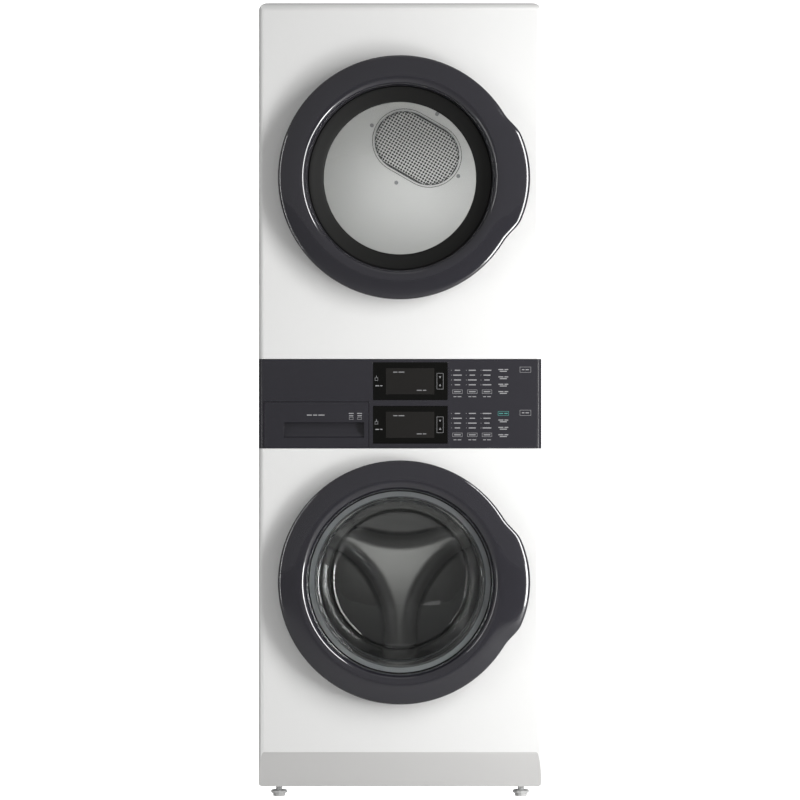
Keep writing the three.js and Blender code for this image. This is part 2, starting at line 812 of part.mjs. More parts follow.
// The washer glass is a pressed bowl that reaches into the drum's mouth.
piece(
  "washer_door_glass",
  turned(
    [
      [219, -23.5], [201, -23.5], [194, -12], [172, 85], [160, 96], [0, 104], [0, 109],
      [162, 101], [176.5, 87], [199, -12], [203, -19.5], [219, -19.5],
    ],
    0,
    WASHER_AXIS,
  ),
  CLEAR_GLASS,
);

// The dryer door's back carries a sloping black frame round the window, and a fixed strike.
const strike = box(LATCH_X, LATCH_X + 6, -DOOR_CLEARANCE - 2, 16, DRYER_AXIS - 8, DRYER_AXIS + 8);
piece(
  "dryer_door_back",
  join(
    cut(
      turned(
        [
          [BACK_RADIUS, -8], [BACK_RADIUS, -11], [228, -11], [220, -22.5], [184, -11],
          [184, -8], [194, -8], [216, -16], [221, -8],
        ],
        0,
        DRYER_AXIS,
        FRAME_ROUND,
      ),
      ...armSlots(DRYER_AXIS, HINGE_X + 32),
    ),
    strike,
  ),
  BLACK_PLASTIC,
);
piece(
  "dryer_door_glass",
  turned(
    [
      [193, -7.5], [183, -7.5], [172, 2], [150, 10], [0, 15], [0, 19], [152, 14], [175, 5],
      [183, -3.5], [193, -3.5],
    ],
    0,
    DRYER_AXIS,
  ),
  CLEAR_GLASS,
);

// ---- Door hinges ----------------------------------------------------------------------------

const PIN_RADIUS = 4;
const BARREL_RADIUS = 8;
const BARREL_HALF = 40;
const PLATE_LEFT = HINGE_X + 16; // plates on the front panels

// Fixed half: a plate on the front panel, two arms that reach round to the pin, and the pin.
function hingeBracket(name, z) {
  const arm = polygon([
    [HINGE_X - 6, -HINGE_PROUD - 3], [HINGE_X, -HINGE_PROUD - 7], [HINGE_X + 7, -HINGE_PROUD - 4],
    [PLATE_LEFT + 10, -3], [PLATE_LEFT, -1], [HINGE_X - 2, -HINGE_PROUD + 7],
    [HINGE_X - 7, -HINGE_PROUD + 3],
  ]);
  const arms = [-1, 1].map((side) => upright(arm, ...upDown(z, side * ARM_NEAR, side * ARM_FAR)));
  piece(
    name,
    join(
      box(PLATE_LEFT, PLATE_LEFT + 30, -3.3, -0.3, z - ARM_FAR - 6, z + ARM_FAR + 6),
      ...arms,
      post(PIN_RADIUS, z - ARM_FAR, z + ARM_FAR, HINGE_X, -HINGE_PROUD, SMALL_ROUND),
    ),
    ZINC_STEEL,
  );
}

// Moving half: a barrel on the pin, and a leaf screwed to the door's back.
function hingeLeaf(name, z) {
  const [low, high] = [z - BARREL_HALF, z + BARREL_HALF];
  const leafFront = -DOOR_CLEARANCE - BACK_WALL - 0.4;
  piece(
    name,
    cut(
      join(
        post(BARREL_RADIUS, low, high, HINGE_X, -HINGE_PROUD, SMALL_ROUND),
        box(HINGE_X, HINGE_X + 9, -HINGE_PROUD, leafFront, low, high),
        box(HINGE_X, HINGE_X + 44, leafFront - 3, leafFront, low, high),
      ),
      post(PIN_RADIUS + PIN_CLEARANCE, low - 1, high + 1, HINGE_X, -HINGE_PROUD, SMALL_ROUND),
    ),
    ZINC_STEEL,
  );
}

hingeBracket("washer_hinge_bracket", WASHER_AXIS);
hingeLeaf("washer_hinge_leaf", WASHER_AXIS);
hingeBracket("dryer_hinge_bracket", DRYER_AXIS);
hingeLeaf("dryer_hinge_leaf", DRYER_AXIS);

// ---- Washer latch ---------------------------------------------------------------------------

// A sprung hook that turns on a pin in the door's back and drops behind the lip of the lock.
const hookOutline = polygon([
  [LATCH_X - 5.5, -LATCH_PIN_PROUD - 3], [LATCH_X - 3, -LATCH_PIN_PROUD - 5.5],
  [LATCH_X + 3, -LATCH_PIN_PROUD - 5.5], [LATCH_X + 5.5, -LATCH_PIN_PROUD - 3],
  [LATCH_X + 5, 9], [LATCH_X + 10, 9.5], [LATCH_X + 9, 13], [LATCH_X + 2, 19],
  [LATCH_X - 4, 17], [LATCH_X - 5, 0],
]);
piece(
  "washer_latch_hook",
  cut(
    upright(hookOutline, WASHER_AXIS - 5, WASHER_AXIS + 5),
    post(
      LATCH_PIN + PIN_CLEARANCE,
      WASHER_AXIS - 6,
      WASHER_AXIS + 6,
      LATCH_X,
      -LATCH_PIN_PROUD,
      SMALL_ROUND,
    ),
  ),
  ZINC_STEEL,
);
piece(
  "washer_door_lock",
  cut(
    box(LATCH_X - 16, LATCH_X + 34, SHEET + GAP, 36, WASHER_AXIS - 36, WASHER_AXIS + 36),
    box(LATCH_X - 12, LATCH_X + 8, 0, 8, WASHER_AXIS - 9, WASHER_AXIS + 9),
    box(LATCH_X - 12, LATCH_X + 16, 6, 28, WASHER_AXIS - 9, WASHER_AXIS + 9),
  ),
  BLACK_PLASTIC,
);

// ---- Door gasket ----------------------------------------------------------------------------

const NECK_INNER = 222.5;
const GASKET_RADIUS = 232; // outside of the bellows' fold
piece(
  "door_gasket",
  turned(
    [
      [221, 3], [221, 20], [GASKET_RADIUS, 30], [228, 43], [215, 52], [NECK_INNER - 0.5, 64],
      [NECK_INNER - 0.5, 79], [218, 79], [218, 67], [211, 52], [225, 40], [228, 32], [206, 20.5],
      [204, 10], [212, 3],
    ],
    0,
    WASHER_AXIS,
  ),
  GASKET_RUBBER,
);

// ---- Tub ------------------------------------------------------------------------------------

const FLANGE_RADIUS = TUB_RADIUS + 9;
const TUB_INNER = TUB_RADIUS - TUB_WALL;
piece(
  "tub_front",
  turned(
    [
      [NECK_INNER, 64], [NECK_INNER + 4, 64], [NECK_INNER + 4, TUB_FRONT],
      [TUB_RADIUS - 12, TUB_FRONT], [TUB_RADIUS, TUB_FRONT + 12], [TUB_RADIUS, TUB_SPLIT - 8],
      [FLANGE_RADIUS, TUB_SPLIT - 8], [FLANGE_RADIUS, TUB_SPLIT], [TUB_INNER, TUB_SPLIT],
      [TUB_INNER, TUB_FRONT + 13], [TUB_RADIUS - 13, TUB_FRONT + 4], [NECK_INNER, TUB_FRONT + 4],
    ],
    0,
    WASHER_AXIS,
  ),
  TUB_PLASTIC,
);

const SPLIT_REAR = TUB_SPLIT + GAP;
const SPRING_BOTTOM = 702;
const LUG_DEPTHS = [SUSPENSION_DEPTH - 10, SUSPENSION_DEPTH + 10];
const ROD_TOP = 252;
const onTub = (x) => Math.sqrt((TUB_RADIUS - 1.3) ** 2 - x ** 2);
function lug(x, halfWidth, end, up) {
  const [a, b] = [x - halfWidth, x + halfWidth];
  const [za, zb] = [a, b].map((at) => WASHER_AXIS + up * onTub(at));
  return drawnBack(polygon([[a, za], [b, zb], [b, end], [a, end]]), ...LUG_DEPTHS);
}
const lugs = [-1, 1].flatMap((side) => [
  lug(side * SPRING_X, 12, SPRING_BOTTOM - GAP, 1),
  lug(side * DAMPER_X, 14, ROD_TOP + GAP, -1),
]);
const HUB_RADIUS = 60;
const HUB_REAR = 600;
piece(
  "tub_rear",
  join(
    turned(
      [
        [SHAFT_RADIUS + 1, TUB_REAR], [SHAFT_RADIUS + 1, HUB_REAR], [HUB_RADIUS, HUB_REAR],
        [HUB_RADIUS + 14, TUB_REAR + 4], [TUB_RADIUS - 10, TUB_REAR + 4],
        [TUB_RADIUS, TUB_REAR - 8], [TUB_RADIUS, SPLIT_REAR + 8],
        [FLANGE_RADIUS, SPLIT_REAR + 8], [FLANGE_RADIUS, SPLIT_REAR], [TUB_INNER, SPLIT_REAR],
        [TUB_INNER, TUB_REAR - 9], [TUB_RADIUS - 12, TUB_REAR],
      ],
      0,
      WASHER_AXIS,
    ),
    ...lugs,
  ),
  TUB_PLASTIC,
);

// Counterweight: a cast crescent over the gasket, bolted to the tub's front.
const WEIGHT_HALF_ANGLE = 56; // degrees
const WEIGHT_FRONT = 42;
const WEIGHT_INNER = GASKET_RADIUS + 10;
const WEIGHT_WIDTH = 44;
function sector(inner, outer, from, to) {
  return new THREE.Shape()
    .absarc(0, WASHER_AXIS, outer, from * RADIANS, to * RADIANS)
    .absarc(0, WASHER_AXIS, inner, to * RADIANS, from * RADIANS, true);
}
piece(
  "counterweight",
  drawnBack(
    sector(
      WEIGHT_INNER,
      WEIGHT_INNER + WEIGHT_WIDTH,
      90 - WEIGHT_HALF_ANGLE,
      90 + WEIGHT_HALF_ANGLE,
    ),
    WEIGHT_FRONT,
    TUB_FRONT - GAP,
    SMALL_ROUND,
  ),
  CONCRETE,
);

// ---- Drum -----------------------------------------------------------------------------------

// The drum's rear wall is pressed forward into a three-armed star: one arm down and two up.
const STAR_HEIGHT = 34;
function starRise(x, z) {
  const r = Math.hypot(x, z);
  const toArm = 0.5 + 0.5 * Math.cos(3 * (Math.atan2(z, x) + Math.PI / 2));
  const arm = smooth((toArm - 0.2) / 0.5);
  const spread = smooth((r - 40) / 90);
  return STAR_HEIGHT * (1 - spread + spread * arm) * (1 - smooth((r - DRUM_RADIUS + 90) / 60));
}

function drumShell() {
  const wall = DRUM_WALL;
  const steps = [0, 60, 120, DRUM_RADIUS - 85, DRUM_RADIUS - 25];
  const inner = steps.map((r) => [r, DRUM_REAR - wall]).reverse();
  const outer = steps.map((r) => [r, DRUM_REAR]);
  const profile = [
    [DRUM_MOUTH, DRUM_FRONT],
    [DRUM_RADIUS - 10, DRUM_FRONT],
    [DRUM_RADIUS, DRUM_FRONT + 10],
    [DRUM_RADIUS, DRUM_REAR - 14],
    [DRUM_RADIUS - 8, DRUM_REAR],
    ...outer.reverse(),
    ...inner.reverse(),
    [DRUM_RADIUS - 9, DRUM_REAR - wall - 1],
    [DRUM_RADIUS - wall, DRUM_REAR - 15],
    [DRUM_RADIUS - wall, DRUM_FRONT + 11],
    [DRUM_RADIUS - 11, DRUM_FRONT + wall],
    [DRUM_MOUTH, DRUM_FRONT + wall],
  ];
  const geometry = turnedGeometry(profile, LARGE_ROUND);
  const p = geometry.attributes.position;
  for (let i = 0; i < p.count; i++) {
    if (p.getY(i) < DRUM_REAR - wall - 0.1) continue;
    p.setY(i, p.getY(i) - starRise(p.getX(i), p.getZ(i)));
  }
  return solid(geometry.translate(0, FRONT, WASHER_AXIS));
}

// Lifters are pressed hollow, so each is open to the outside of the drum.
function lifter(axisHeight, [radius, wall], angle, [height, width], depth0, depth1) {
  const outline = (inset) => {
    const [w, h] = [width / 2 - inset, height - inset];
    const base = Math.sqrt((radius - wall / 2) ** 2 - (width / 2) ** 2);
    const top = radius - h;
    const start = inset > 0 ? radius + 2 : base;
    const points = [
      [start, -w], [base, -w], [base - 0.5 * h, -0.62 * w], [top + 4, -0.34 * w], [top, 0],
      [top + 4, 0.34 * w], [base - 0.5 * h, 0.62 * w], [base, w], [start, w],
    ];
    const [c, s] = [Math.cos(angle * RADIANS), Math.sin(angle * RADIANS)];
    return polygon(points.map(([u, v]) => [u * c - v * s, axisHeight + u * s + v * c]));
  };
  return {
    outside: drawnBack(outline(0), depth0, depth1),
    inside: drawnBack(outline(2), depth0 + 2, depth1 - 2),
  };
}

function withLifters(shell, lifters) {
  return cut(join(shell, ...lifters.map((l) => l.outside)), ...lifters.map((l) => l.inside));
}

const washerLifters = [90, 210, 330].map((a) =>
  lifter(WASHER_AXIS, [DRUM_RADIUS, DRUM_WALL], a, [52, 84], DRUM_FRONT + 40, DRUM_REAR - 40),
);
piece("washer_drum", withLifters(drumShell(), washerLifters), STAINLESS);

// Cast spider: three tapered arms and the shaft that the drum turns on.
const SPIDER_HUB = 46;
const SPIDER_FRONT = DRUM_REAR + GAP;
const SPIDER_REAR = TUB_REAR - 6;
const spiderArm = (angle) => {
  const [c, s] = [Math.cos(angle * RADIANS), Math.sin(angle * RADIANS)];
  const tip = DRUM_RADIUS - 22;
  const outline = [[20, -30], [tip - 6, -16], [tip, 0], [tip - 6, 16], [20, 30]];
  return drawnBack(
    polygon(outline.map(([u, v]) => [u * c - v * s, WASHER_AXIS + u * s + v * c])),
    SPIDER_FRONT,
    SPIDER_REAR,
  );
};
piece(
  "drum_spider",
  join(
    rod(SPIDER_HUB, SPIDER_FRONT, SPIDER_REAR, 0, WASHER_AXIS, LARGE_ROUND),
    ...[90, 210, 330].map(spiderArm),
    rod(SHAFT_RADIUS, SPIDER_FRONT, PULLEY_DEPTH + PULLEY_WIDTH + 6, 0, WASHER_AXIS),
  ),
  CAST_ALUMINIUM,
);
piece(
  "drum_pulley",
  turned(
    [
      [SHAFT_RADIUS + PIN_CLEARANCE, PULLEY_DEPTH], [34, PULLEY_DEPTH], [40, PULLEY_DEPTH + 7],
      [DRUM_PULLEY_RADIUS - 8, PULLEY_DEPTH + 7], [DRUM_PULLEY_RADIUS - 6, PULLEY_DEPTH],
      [DRUM_PULLEY_RADIUS, PULLEY_DEPTH], [DRUM_PULLEY_RADIUS, PULLEY_DEPTH + PULLEY_WIDTH],
      [DRUM_PULLEY_RADIUS - 6, PULLEY_DEPTH + PULLEY_WIDTH],
      [DRUM_PULLEY_RADIUS - 8, PULLEY_DEPTH + 13], [40, PULLEY_DEPTH + 13],
      [34, PULLEY_DEPTH + PULLEY_WIDTH],
      [SHAFT_RADIUS + PIN_CLEARANCE, PULLEY_DEPTH + PULLEY_WIDTH],
    ],
    0,
    WASHER_AXIS,
  ),
  CAST_ALUMINIUM,
);

// ---- Washer drive ---------------------------------------------------------------------------

const MOTOR_RADIUS = 60;
const MOTOR_FRONT = 390;
const MOTOR_REAR = 540;
const MOTOR_SHAFT = 7;
const BRACKET_X = 44;
const motorBracket = (x) =>
  box(
    x - 8,
    x + 8,
    MOTOR_FRONT + 20,
    MOTOR_REAR - 20,
    MOTOR_AXIS + 20,
    WASHER_AXIS - TUB_RADIUS + 12,
  );
piece(
  "washer_motor",
  cut(
    join(
      rod(MOTOR_RADIUS, MOTOR_FRONT, MOTOR_REAR, 0, MOTOR_AXIS, LARGE_ROUND),
      motorBracket(-BRACKET_X),
      motorBracket(BRACKET_X),
    ),
    rod(TUB_RADIUS + GAP, 0, CABINET_DEPTH, 0, WASHER_AXIS, LARGE_ROUND),
    rod(MOTOR_SHAFT + 1, MOTOR_REAR - 40, MOTOR_REAR + 1, 0, MOTOR_AXIS),
  ),
  ZINC_STEEL,
);
piece(
  "motor_pulley",
  join(
    rod(MOTOR_SHAFT, MOTOR_REAR - 30, PULLEY_DEPTH + 1, 0, MOTOR_AXIS),
    rod(MOTOR_PULLEY_RADIUS, PULLEY_DEPTH, PULLEY_DEPTH + PULLEY_WIDTH, 0, MOTOR_AXIS, LARGE_ROUND),
  ),
  ZINC_STEEL,
);

// The loop of a belt round two pulleys, as the outline of its inside or outside.
function beltLoop([x1, z1, r1], [x2, z2, r2], grow, steps) {
  const [dx, dz] = [x2 - x1, z2 - z1];
  const along = Math.atan2(dz, dx);
  const open = Math.acos((r1 - r2) / Math.hypot(dx, dz));
  const arc = (x, z, r, from, to) =>
    Array.from({ length: steps + 1 }, (_, i) => {
      const a = from + ((to - from) * i) / steps;
      return [x + (r + grow) * Math.cos(a), z + (r + grow) * Math.sin(a)];
    });
  return [
    ...arc(x1, z1, r1, along + open, along + 2 * Math.PI - open),
    ...arc(x2, z2, r2, along - open, along + open),
  ];
}

function belt(big, small, depth0, depth1, { slack, thickness, steps }) {
  const outer = polygon(beltLoop(big, small, slack + thickness, steps));
  const inner = polygon(beltLoop(big, small, slack, steps));
  return cut(drawnBack(outer, depth0, depth1), drawnBack(inner, depth0 - 1, depth1 + 1));
}

piece(
  "drive_belt",
  belt(
    [0, WASHER_AXIS, DRUM_PULLEY_RADIUS],
    [0, MOTOR_AXIS, MOTOR_PULLEY_RADIUS],
    PULLEY_DEPTH + 3,
    PULLEY_DEPTH + PULLEY_WIDTH - 3,
    { slack: 0.8, thickness: 4, steps: 20 },
  ),
  BELT_RUBBER,
);

// ---- Suspension -----------------------------------------------------------------------------

class Coil extends THREE.Curve {
  constructor(x, bottom, top, radius, turns) {
    super();
    Object.assign(this, { x, bottom, top, radius, turns });
  }
  getPoint(t) {
    const a = 2 * Math.PI * this.turns * t;
    return new THREE.Vector3(
      this.x + this.radius * Math.cos(a),
      FRONT + SUSPENSION_DEPTH + this.radius * Math.sin(a),
      this.bottom + (this.top - this.bottom) * t,
    );
  }
}

const SPRING_TURNS = 8;
const SPRING_WIRE = 2.4;
const SPRING_RADIUS = 13;
const STEPS_A_TURN = 8;
function spring(name, x) {
  const ends = SPRING_WIRE + GAP;
  const path = new Coil(x, SPRING_BOTTOM + ends, SPRING_TOP - ends, SPRING_RADIUS, SPRING_TURNS);
  const section = polygon(
    Array.from({ length: 4 }, (_, i) => {
      const a = (Math.PI * i) / 2;
      return [SPRING_WIRE * Math.cos(a), SPRING_WIRE * Math.sin(a)];
    }),
  );
  const geometry = new THREE.ExtrudeGeometry(section, {
    steps: SPRING_TURNS * STEPS_A_TURN,
    extrudePath: path,
    bevelEnabled: false,
  });
  piece(name, solid(geometry), ZINC_STEEL);
}
spring("spring_left", -SPRING_X);
spring("spring_right", SPRING_X);

const CYLINDER_BOTTOM = FOOT_HEIGHT + BASE_SHEET + GAP;
const CYLINDER_TOP = 200;
const HEAD_BOTTOM = 130;
function damper(side, x) {
  piece(
    "damper_cylinder_" + side,
    turnedUpright(
      [
        [0, CYLINDER_BOTTOM], [16, CYLINDER_BOTTOM], [16, CYLINDER_TOP], [7.5, CYLINDER_TOP],
        [7.5, CYLINDER_TOP - 6], [12.5, CYLINDER_TOP - 6], [12.5, CYLINDER_BOTTOM + 6],
        [0, CYLINDER_BOTTOM + 6],
      ],
      x,
      SUSPENSION_DEPTH,
    ),
    BLACK_PLASTIC,
  );
  piece(
    "damper_rod_" + side,
    turnedUpright(
      [
        [0, HEAD_BOTTOM], [12, HEAD_BOTTOM], [12, HEAD_BOTTOM + 16], [6, HEAD_BOTTOM + 16],
        [6, ROD_TOP], [0, ROD_TOP],
      ],
      x,
      SUSPENSION_DEPTH,
    ),
    ZINC_STEEL,
  );
}
damper("left", -DAMPER_X);
damper("right", DAMPER_X);

// Drain pump on the base, with its motor behind it.
const PUMP_X = 235;
const PUMP_Z = FOOT_HEIGHT + 62;
const PUMP_FRONT = 70;
const PUMP_BOWL_REAR = 118;
const PUMP_REAR = 170;
const OUTLET_RADIUS = 13;
piece(
  "drain_pump",
  join(
    rod(36, PUMP_FRONT, PUMP_BOWL_REAR, PUMP_X, PUMP_Z, MIDDLE_ROUND),
    rod(24, PUMP_BOWL_REAR - 1, PUMP_REAR, PUMP_X, PUMP_Z, MIDDLE_ROUND),
    post(OUTLET_RADIUS, PUMP_Z, PUMP_Z + 62, PUMP_X, PUMP_FRONT + 24, SMALL_ROUND),
    box(
      PUMP_X - 26,
      PUMP_X + 26,
      PUMP_FRONT + 6,
      PUMP_REAR - 20,
      FOOT_HEIGHT + BASE_SHEET + GAP,
      PUMP_Z - 15,
    ),
  ),
  BLACK_PLASTIC,
);

// ---- Dryer bulkheads ------------------------------------------------------------------------

const BULKHEAD = 1.5;
const BULKHEAD_BOTTOM = DECK_BOTTOM + DECK_FLANGE + GAP;
const BULKHEAD_TOP = DRYER_WRAPPER[1] - 12;
const FRONT_BULKHEAD = 40;
const REAR_BULKHEAD = DRYER_DRUM_REAR + 6;
const COLLAR_RADIUS = DRYER_DRUM_RADIUS - 24; // felt collars that the drum's lips ride on
const collar = (depth0, depth1) =>
  tube(COLLAR_RADIUS, COLLAR_RADIUS - 2, depth0, depth1, 0, DRYER_AXIS);
const DUCT_HALF = 140;
const DUCT_FRONT = 20;
const DUCT_TOP = DRYER_AXIS - 208;
const DUCT_BRANCH = [100, BLOWER_X + 50];
const BRANCH_TOP = BLOWER_AXIS + 50;
const BLOWER_INLET = 40;
const bulkheadPlate = (depth) =>
  box(-INSIDE, INSIDE, depth, depth + BULKHEAD, BULKHEAD_BOTTOM, BULKHEAD_TOP);

// The front bulkhead carries the drum's front collar and the flat duct that the lint filter
// stands in. A branch of the duct leads the air to the blower.
piece(
  "dryer_front_bulkhead",
  cut(
    join(
      bulkheadPlate(FRONT_BULKHEAD),
      collar(FRONT_BULKHEAD, DRYER_DRUM_FRONT + 12),
      tube(DRYER_MOUTH + 3, DRYER_MOUTH + 1, RIM_DEPTH + 1, FRONT_BULKHEAD + 1, 0, DRYER_AXIS),
      box(-DUCT_HALF, DUCT_HALF, DUCT_FRONT, FRONT_BULKHEAD + 1, BULKHEAD_BOTTOM, DUCT_TOP),
      box(...DUCT_BRANCH, DUCT_FRONT, FRONT_BULKHEAD + 1, BULKHEAD_BOTTOM, BRANCH_TOP),
    ),
    box(
      -DUCT_HALF + BULKHEAD,
      DUCT_HALF - BULKHEAD,
      DUCT_FRONT + BULKHEAD,
      FRONT_BULKHEAD,
      BULKHEAD_BOTTOM + BULKHEAD,
      DUCT_TOP + 60,
    ),
    box(
      DUCT_BRANCH[0],
      DUCT_BRANCH[1] - BULKHEAD,
      DUCT_FRONT + BULKHEAD,
      FRONT_BULKHEAD,
      BULKHEAD_BOTTOM + BULKHEAD,
      BRANCH_TOP - BULKHEAD,
    ),
    rod(DRYER_MOUTH + 1, RIM_DEPTH, FRONT_BULKHEAD + 3, 0, DRYER_AXIS, LARGE_ROUND),
    rod(BLOWER_INLET, FRONT_BULKHEAD - 1, FRONT_BULKHEAD + 3, BLOWER_X, BLOWER_AXIS, LARGE_ROUND),
  ),
  GALVANISED,
);

// The hot air comes in through a long rounded opening, set askew above the drum's axis.
const GRILLE_LENGTH = 266;
const GRILLE_WIDTH = 183;
const GRILLE_TILT = -30; // degrees
const GRILLE_X = 45;
const GRILLE_Z = DRYER_AXIS + COLLAR_RADIUS - 162;
const GRILLE_LAP = 10; // of the grille over the opening
function stadium(inset) {
  const radius = GRILLE_WIDTH / 2 - inset;
  const half = (GRILLE_LENGTH - GRILLE_WIDTH) / 2;
  const tilt = GRILLE_TILT * RADIANS;
  const [dx, dz] = [half * Math.cos(tilt), half * Math.sin(tilt)];
  const quarter = Math.PI / 2;
  return new THREE.Shape()
    .absarc(GRILLE_X + dx, GRILLE_Z + dz, radius, tilt - quarter, tilt + quarter)
    .absarc(GRILLE_X - dx, GRILLE_Z - dz, radius, tilt + quarter, tilt + 3 * quarter);
}

piece(
  "dryer_rear_bulkhead",
  cut(
    join(
      bulkheadPlate(REAR_BULKHEAD),
      collar(DRYER_DRUM_REAR - 12, REAR_BULKHEAD + 1),
    ),
    drawnBack(stadium(GRILLE_LAP), REAR_BULKHEAD - 1, REAR_BULKHEAD + 3, GRILLE_STEPS),
    exhaustHoleThrough(REAR_BULKHEAD - 1, REAR_BULKHEAD + 3),
  ),
  DRUM_ENAMEL,
);
piece(
  "air_grille",
  drawnBack(stadium(0), REAR_BULKHEAD - GAP - SHEET, REAR_BULKHEAD - GAP, GRILLE_STEPS),
  DRUM_ENAMEL,
);

// Heater box: a duct on the back of the rear bulkhead, open to the grille and at its foot.
const HEATER = { left: -100, right: 186, bottom: 1330, top: 1770 };
const HEATER_FRONT = REAR_BULKHEAD + BULKHEAD + GAP;
const HEATER_REAR = CABINET_DEPTH - 18;
piece(
  "heater_box",
  cut(
    box(HEATER.left, HEATER.right, HEATER_FRONT, HEATER_REAR, HEATER.bottom, HEATER.top),
    box(
      HEATER.left + SHEET,
      HEATER.right - SHEET,
      HEATER_FRONT + SHEET,
      HEATER_REAR - SHEET,
      HEATER.bottom - 1,
      HEATER.top - SHEET,
    ),
    drawnBack(stadium(GRILLE_LAP), HEATER_FRONT - 1, HEATER_FRONT + SHEET + 1, GRILLE_STEPS),
  ),
  GALVANISED,
);

// ---- Dryer drum -----------------------------------------------------------------------------

const LIP_RADIUS = COLLAR_RADIUS + 2; // clear of the felt collars
const LIP_REACH = 10;
const dryerWall = DRYER_DRUM_RADIUS - DRYER_DRUM_WALL;
const dryerShell = turned(
  [
    [LIP_RADIUS, DRYER_DRUM_FRONT], [DRYER_DRUM_RADIUS - 8, DRYER_DRUM_FRONT],
    [DRYER_DRUM_RADIUS, DRYER_DRUM_FRONT + LIP_REACH],
    [DRYER_DRUM_RADIUS, DRYER_DRUM_REAR - LIP_REACH],
    [DRYER_DRUM_RADIUS - 8, DRYER_DRUM_REAR], [LIP_RADIUS, DRYER_DRUM_REAR],
    [LIP_RADIUS, DRYER_DRUM_REAR - DRYER_DRUM_WALL],
    [dryerWall - 7, DRYER_DRUM_REAR - DRYER_DRUM_WALL],
    [dryerWall, DRYER_DRUM_REAR - LIP_REACH - 1],
    [dryerWall, DRYER_DRUM_FRONT + LIP_REACH + 1],
    [dryerWall - 7, DRYER_DRUM_FRONT + DRYER_DRUM_WALL],
    [LIP_RADIUS, DRYER_DRUM_FRONT + DRYER_DRUM_WALL],
  ],
  0,
  DRYER_AXIS,
);
const dryerLifters = [40, 160, 280].map((a) =>
  lifter(
    DRYER_AXIS,
    [DRYER_DRUM_RADIUS, DRYER_DRUM_WALL],
    a,
    [72, 104],
    DRYER_DRUM_FRONT + 60,
    DRYER_DRUM_REAR - 60,
  ),
);
piece("dryer_drum", withLifters(dryerShell, dryerLifters), DRUM_ENAMEL);

// ---- Dryer drive ----------------------------------------------------------------------------

const BELT_DEPTH = 332;
const BELT_WIDTH = 16;
const HOUSING_RADIUS = 76;
const HOUSING_START = 60;
const HOUSING_END = 130;
const HOUSING_WALL = 2;
const DECK_FLOOR = DECK_BOTTOM + BASE_SHEET + GAP;
const EXHAUST_END = CABINET_DEPTH + REAR_PROUD;
const plenum = (inset) =>
  box(
    EXHAUST_X - EXHAUST_RADIUS - 4 + inset,
    BLOWER_X - 30,
    HOUSING_START + inset,
    HOUSING_END - inset,
    EXHAUST_Z - EXHAUST_RADIUS - 0.5 + inset,
    EXHAUST_Z + EXHAUST_RADIUS - inset,
  );

// Blower housing, the plenum beside it and the exhaust pipe that leaves through the rear.
piece(
  "blower_housing",
  cut(
    join(
      rod(HOUSING_RADIUS, HOUSING_START, HOUSING_END, BLOWER_X, BLOWER_AXIS, LARGE_ROUND),
      plenum(0),
      exhaustRod(EXHAUST_RADIUS, HOUSING_END - 1, EXHAUST_END),
    ),
    rod(
      HOUSING_RADIUS - HOUSING_WALL,
      HOUSING_START + HOUSING_WALL,
      HOUSING_END - HOUSING_WALL,
      BLOWER_X,
      BLOWER_AXIS,
      LARGE_ROUND,
    ),
    plenum(HOUSING_WALL),
    exhaustRod(EXHAUST_RADIUS - HOUSING_WALL, HOUSING_END - 10, EXHAUST_END + 1),
    rod(BLOWER_INLET, HOUSING_START - 1, HOUSING_START + 5, BLOWER_X, BLOWER_AXIS, LARGE_ROUND),
    rod(12, HOUSING_END - 5, HOUSING_END + 1, BLOWER_X, BLOWER_AXIS),
  ),
  GALVANISED,
);

const DRYER_SHAFT = 6;
const HUB_START = HOUSING_START + 8;
const HUB_END = HOUSING_END - 12;
const blade = (angle) => {
  const [c, s] = [Math.cos(angle), Math.sin(angle)];
  const outline = [[46, -1.2], [BLOWER_RADIUS - 1, 3], [BLOWER_RADIUS - 1, 5.5], [46, 1.3]];
  return drawnBack(
    polygon(outline.map(([u, v]) => [BLOWER_X + u * c - v * s, BLOWER_AXIS + u * s + v * c])),
    HUB_START + 1,
    HUB_END - 1,
  );
};
const BLADES = 9;
piece(
  "blower_wheel",
  cut(
    join(
      rod(BLOWER_RADIUS, HUB_END - 3, HUB_END, BLOWER_X, BLOWER_AXIS, MIDDLE_ROUND),
      tube(BLOWER_RADIUS, 44, HUB_START, HUB_START + 3, BLOWER_X, BLOWER_AXIS, MIDDLE_ROUND),
      rod(14, HUB_END - 30, HUB_END - 1, BLOWER_X, BLOWER_AXIS),
      ...Array.from({ length: BLADES }, (_, i) => blade((2 * Math.PI * i) / BLADES)),
    ),
    rod(DRYER_SHAFT + PIN_CLEARANCE, HUB_END - 31, HUB_END + 1, BLOWER_X, BLOWER_AXIS),
  ),
  WHITE_PLASTIC,
);
piece(
  "dryer_motor_pulley",
  join(
    rod(DRYER_SHAFT, HUB_END - 32, BELT_DEPTH + BELT_WIDTH + 6, BLOWER_X, BLOWER_AXIS),
    rod(
      BELT_PULLEY_RADIUS,
      BELT_DEPTH - 3,
      BELT_DEPTH + BELT_WIDTH + 3,
      BLOWER_X,
      BLOWER_AXIS,
      MIDDLE_ROUND,
    ),
  ),
  ZINC_STEEL,
);
const DRYER_MOTOR_RADIUS = 52;
const DRYER_MOTOR_FRONT = 156;
const DRYER_MOTOR_REAR = 306;
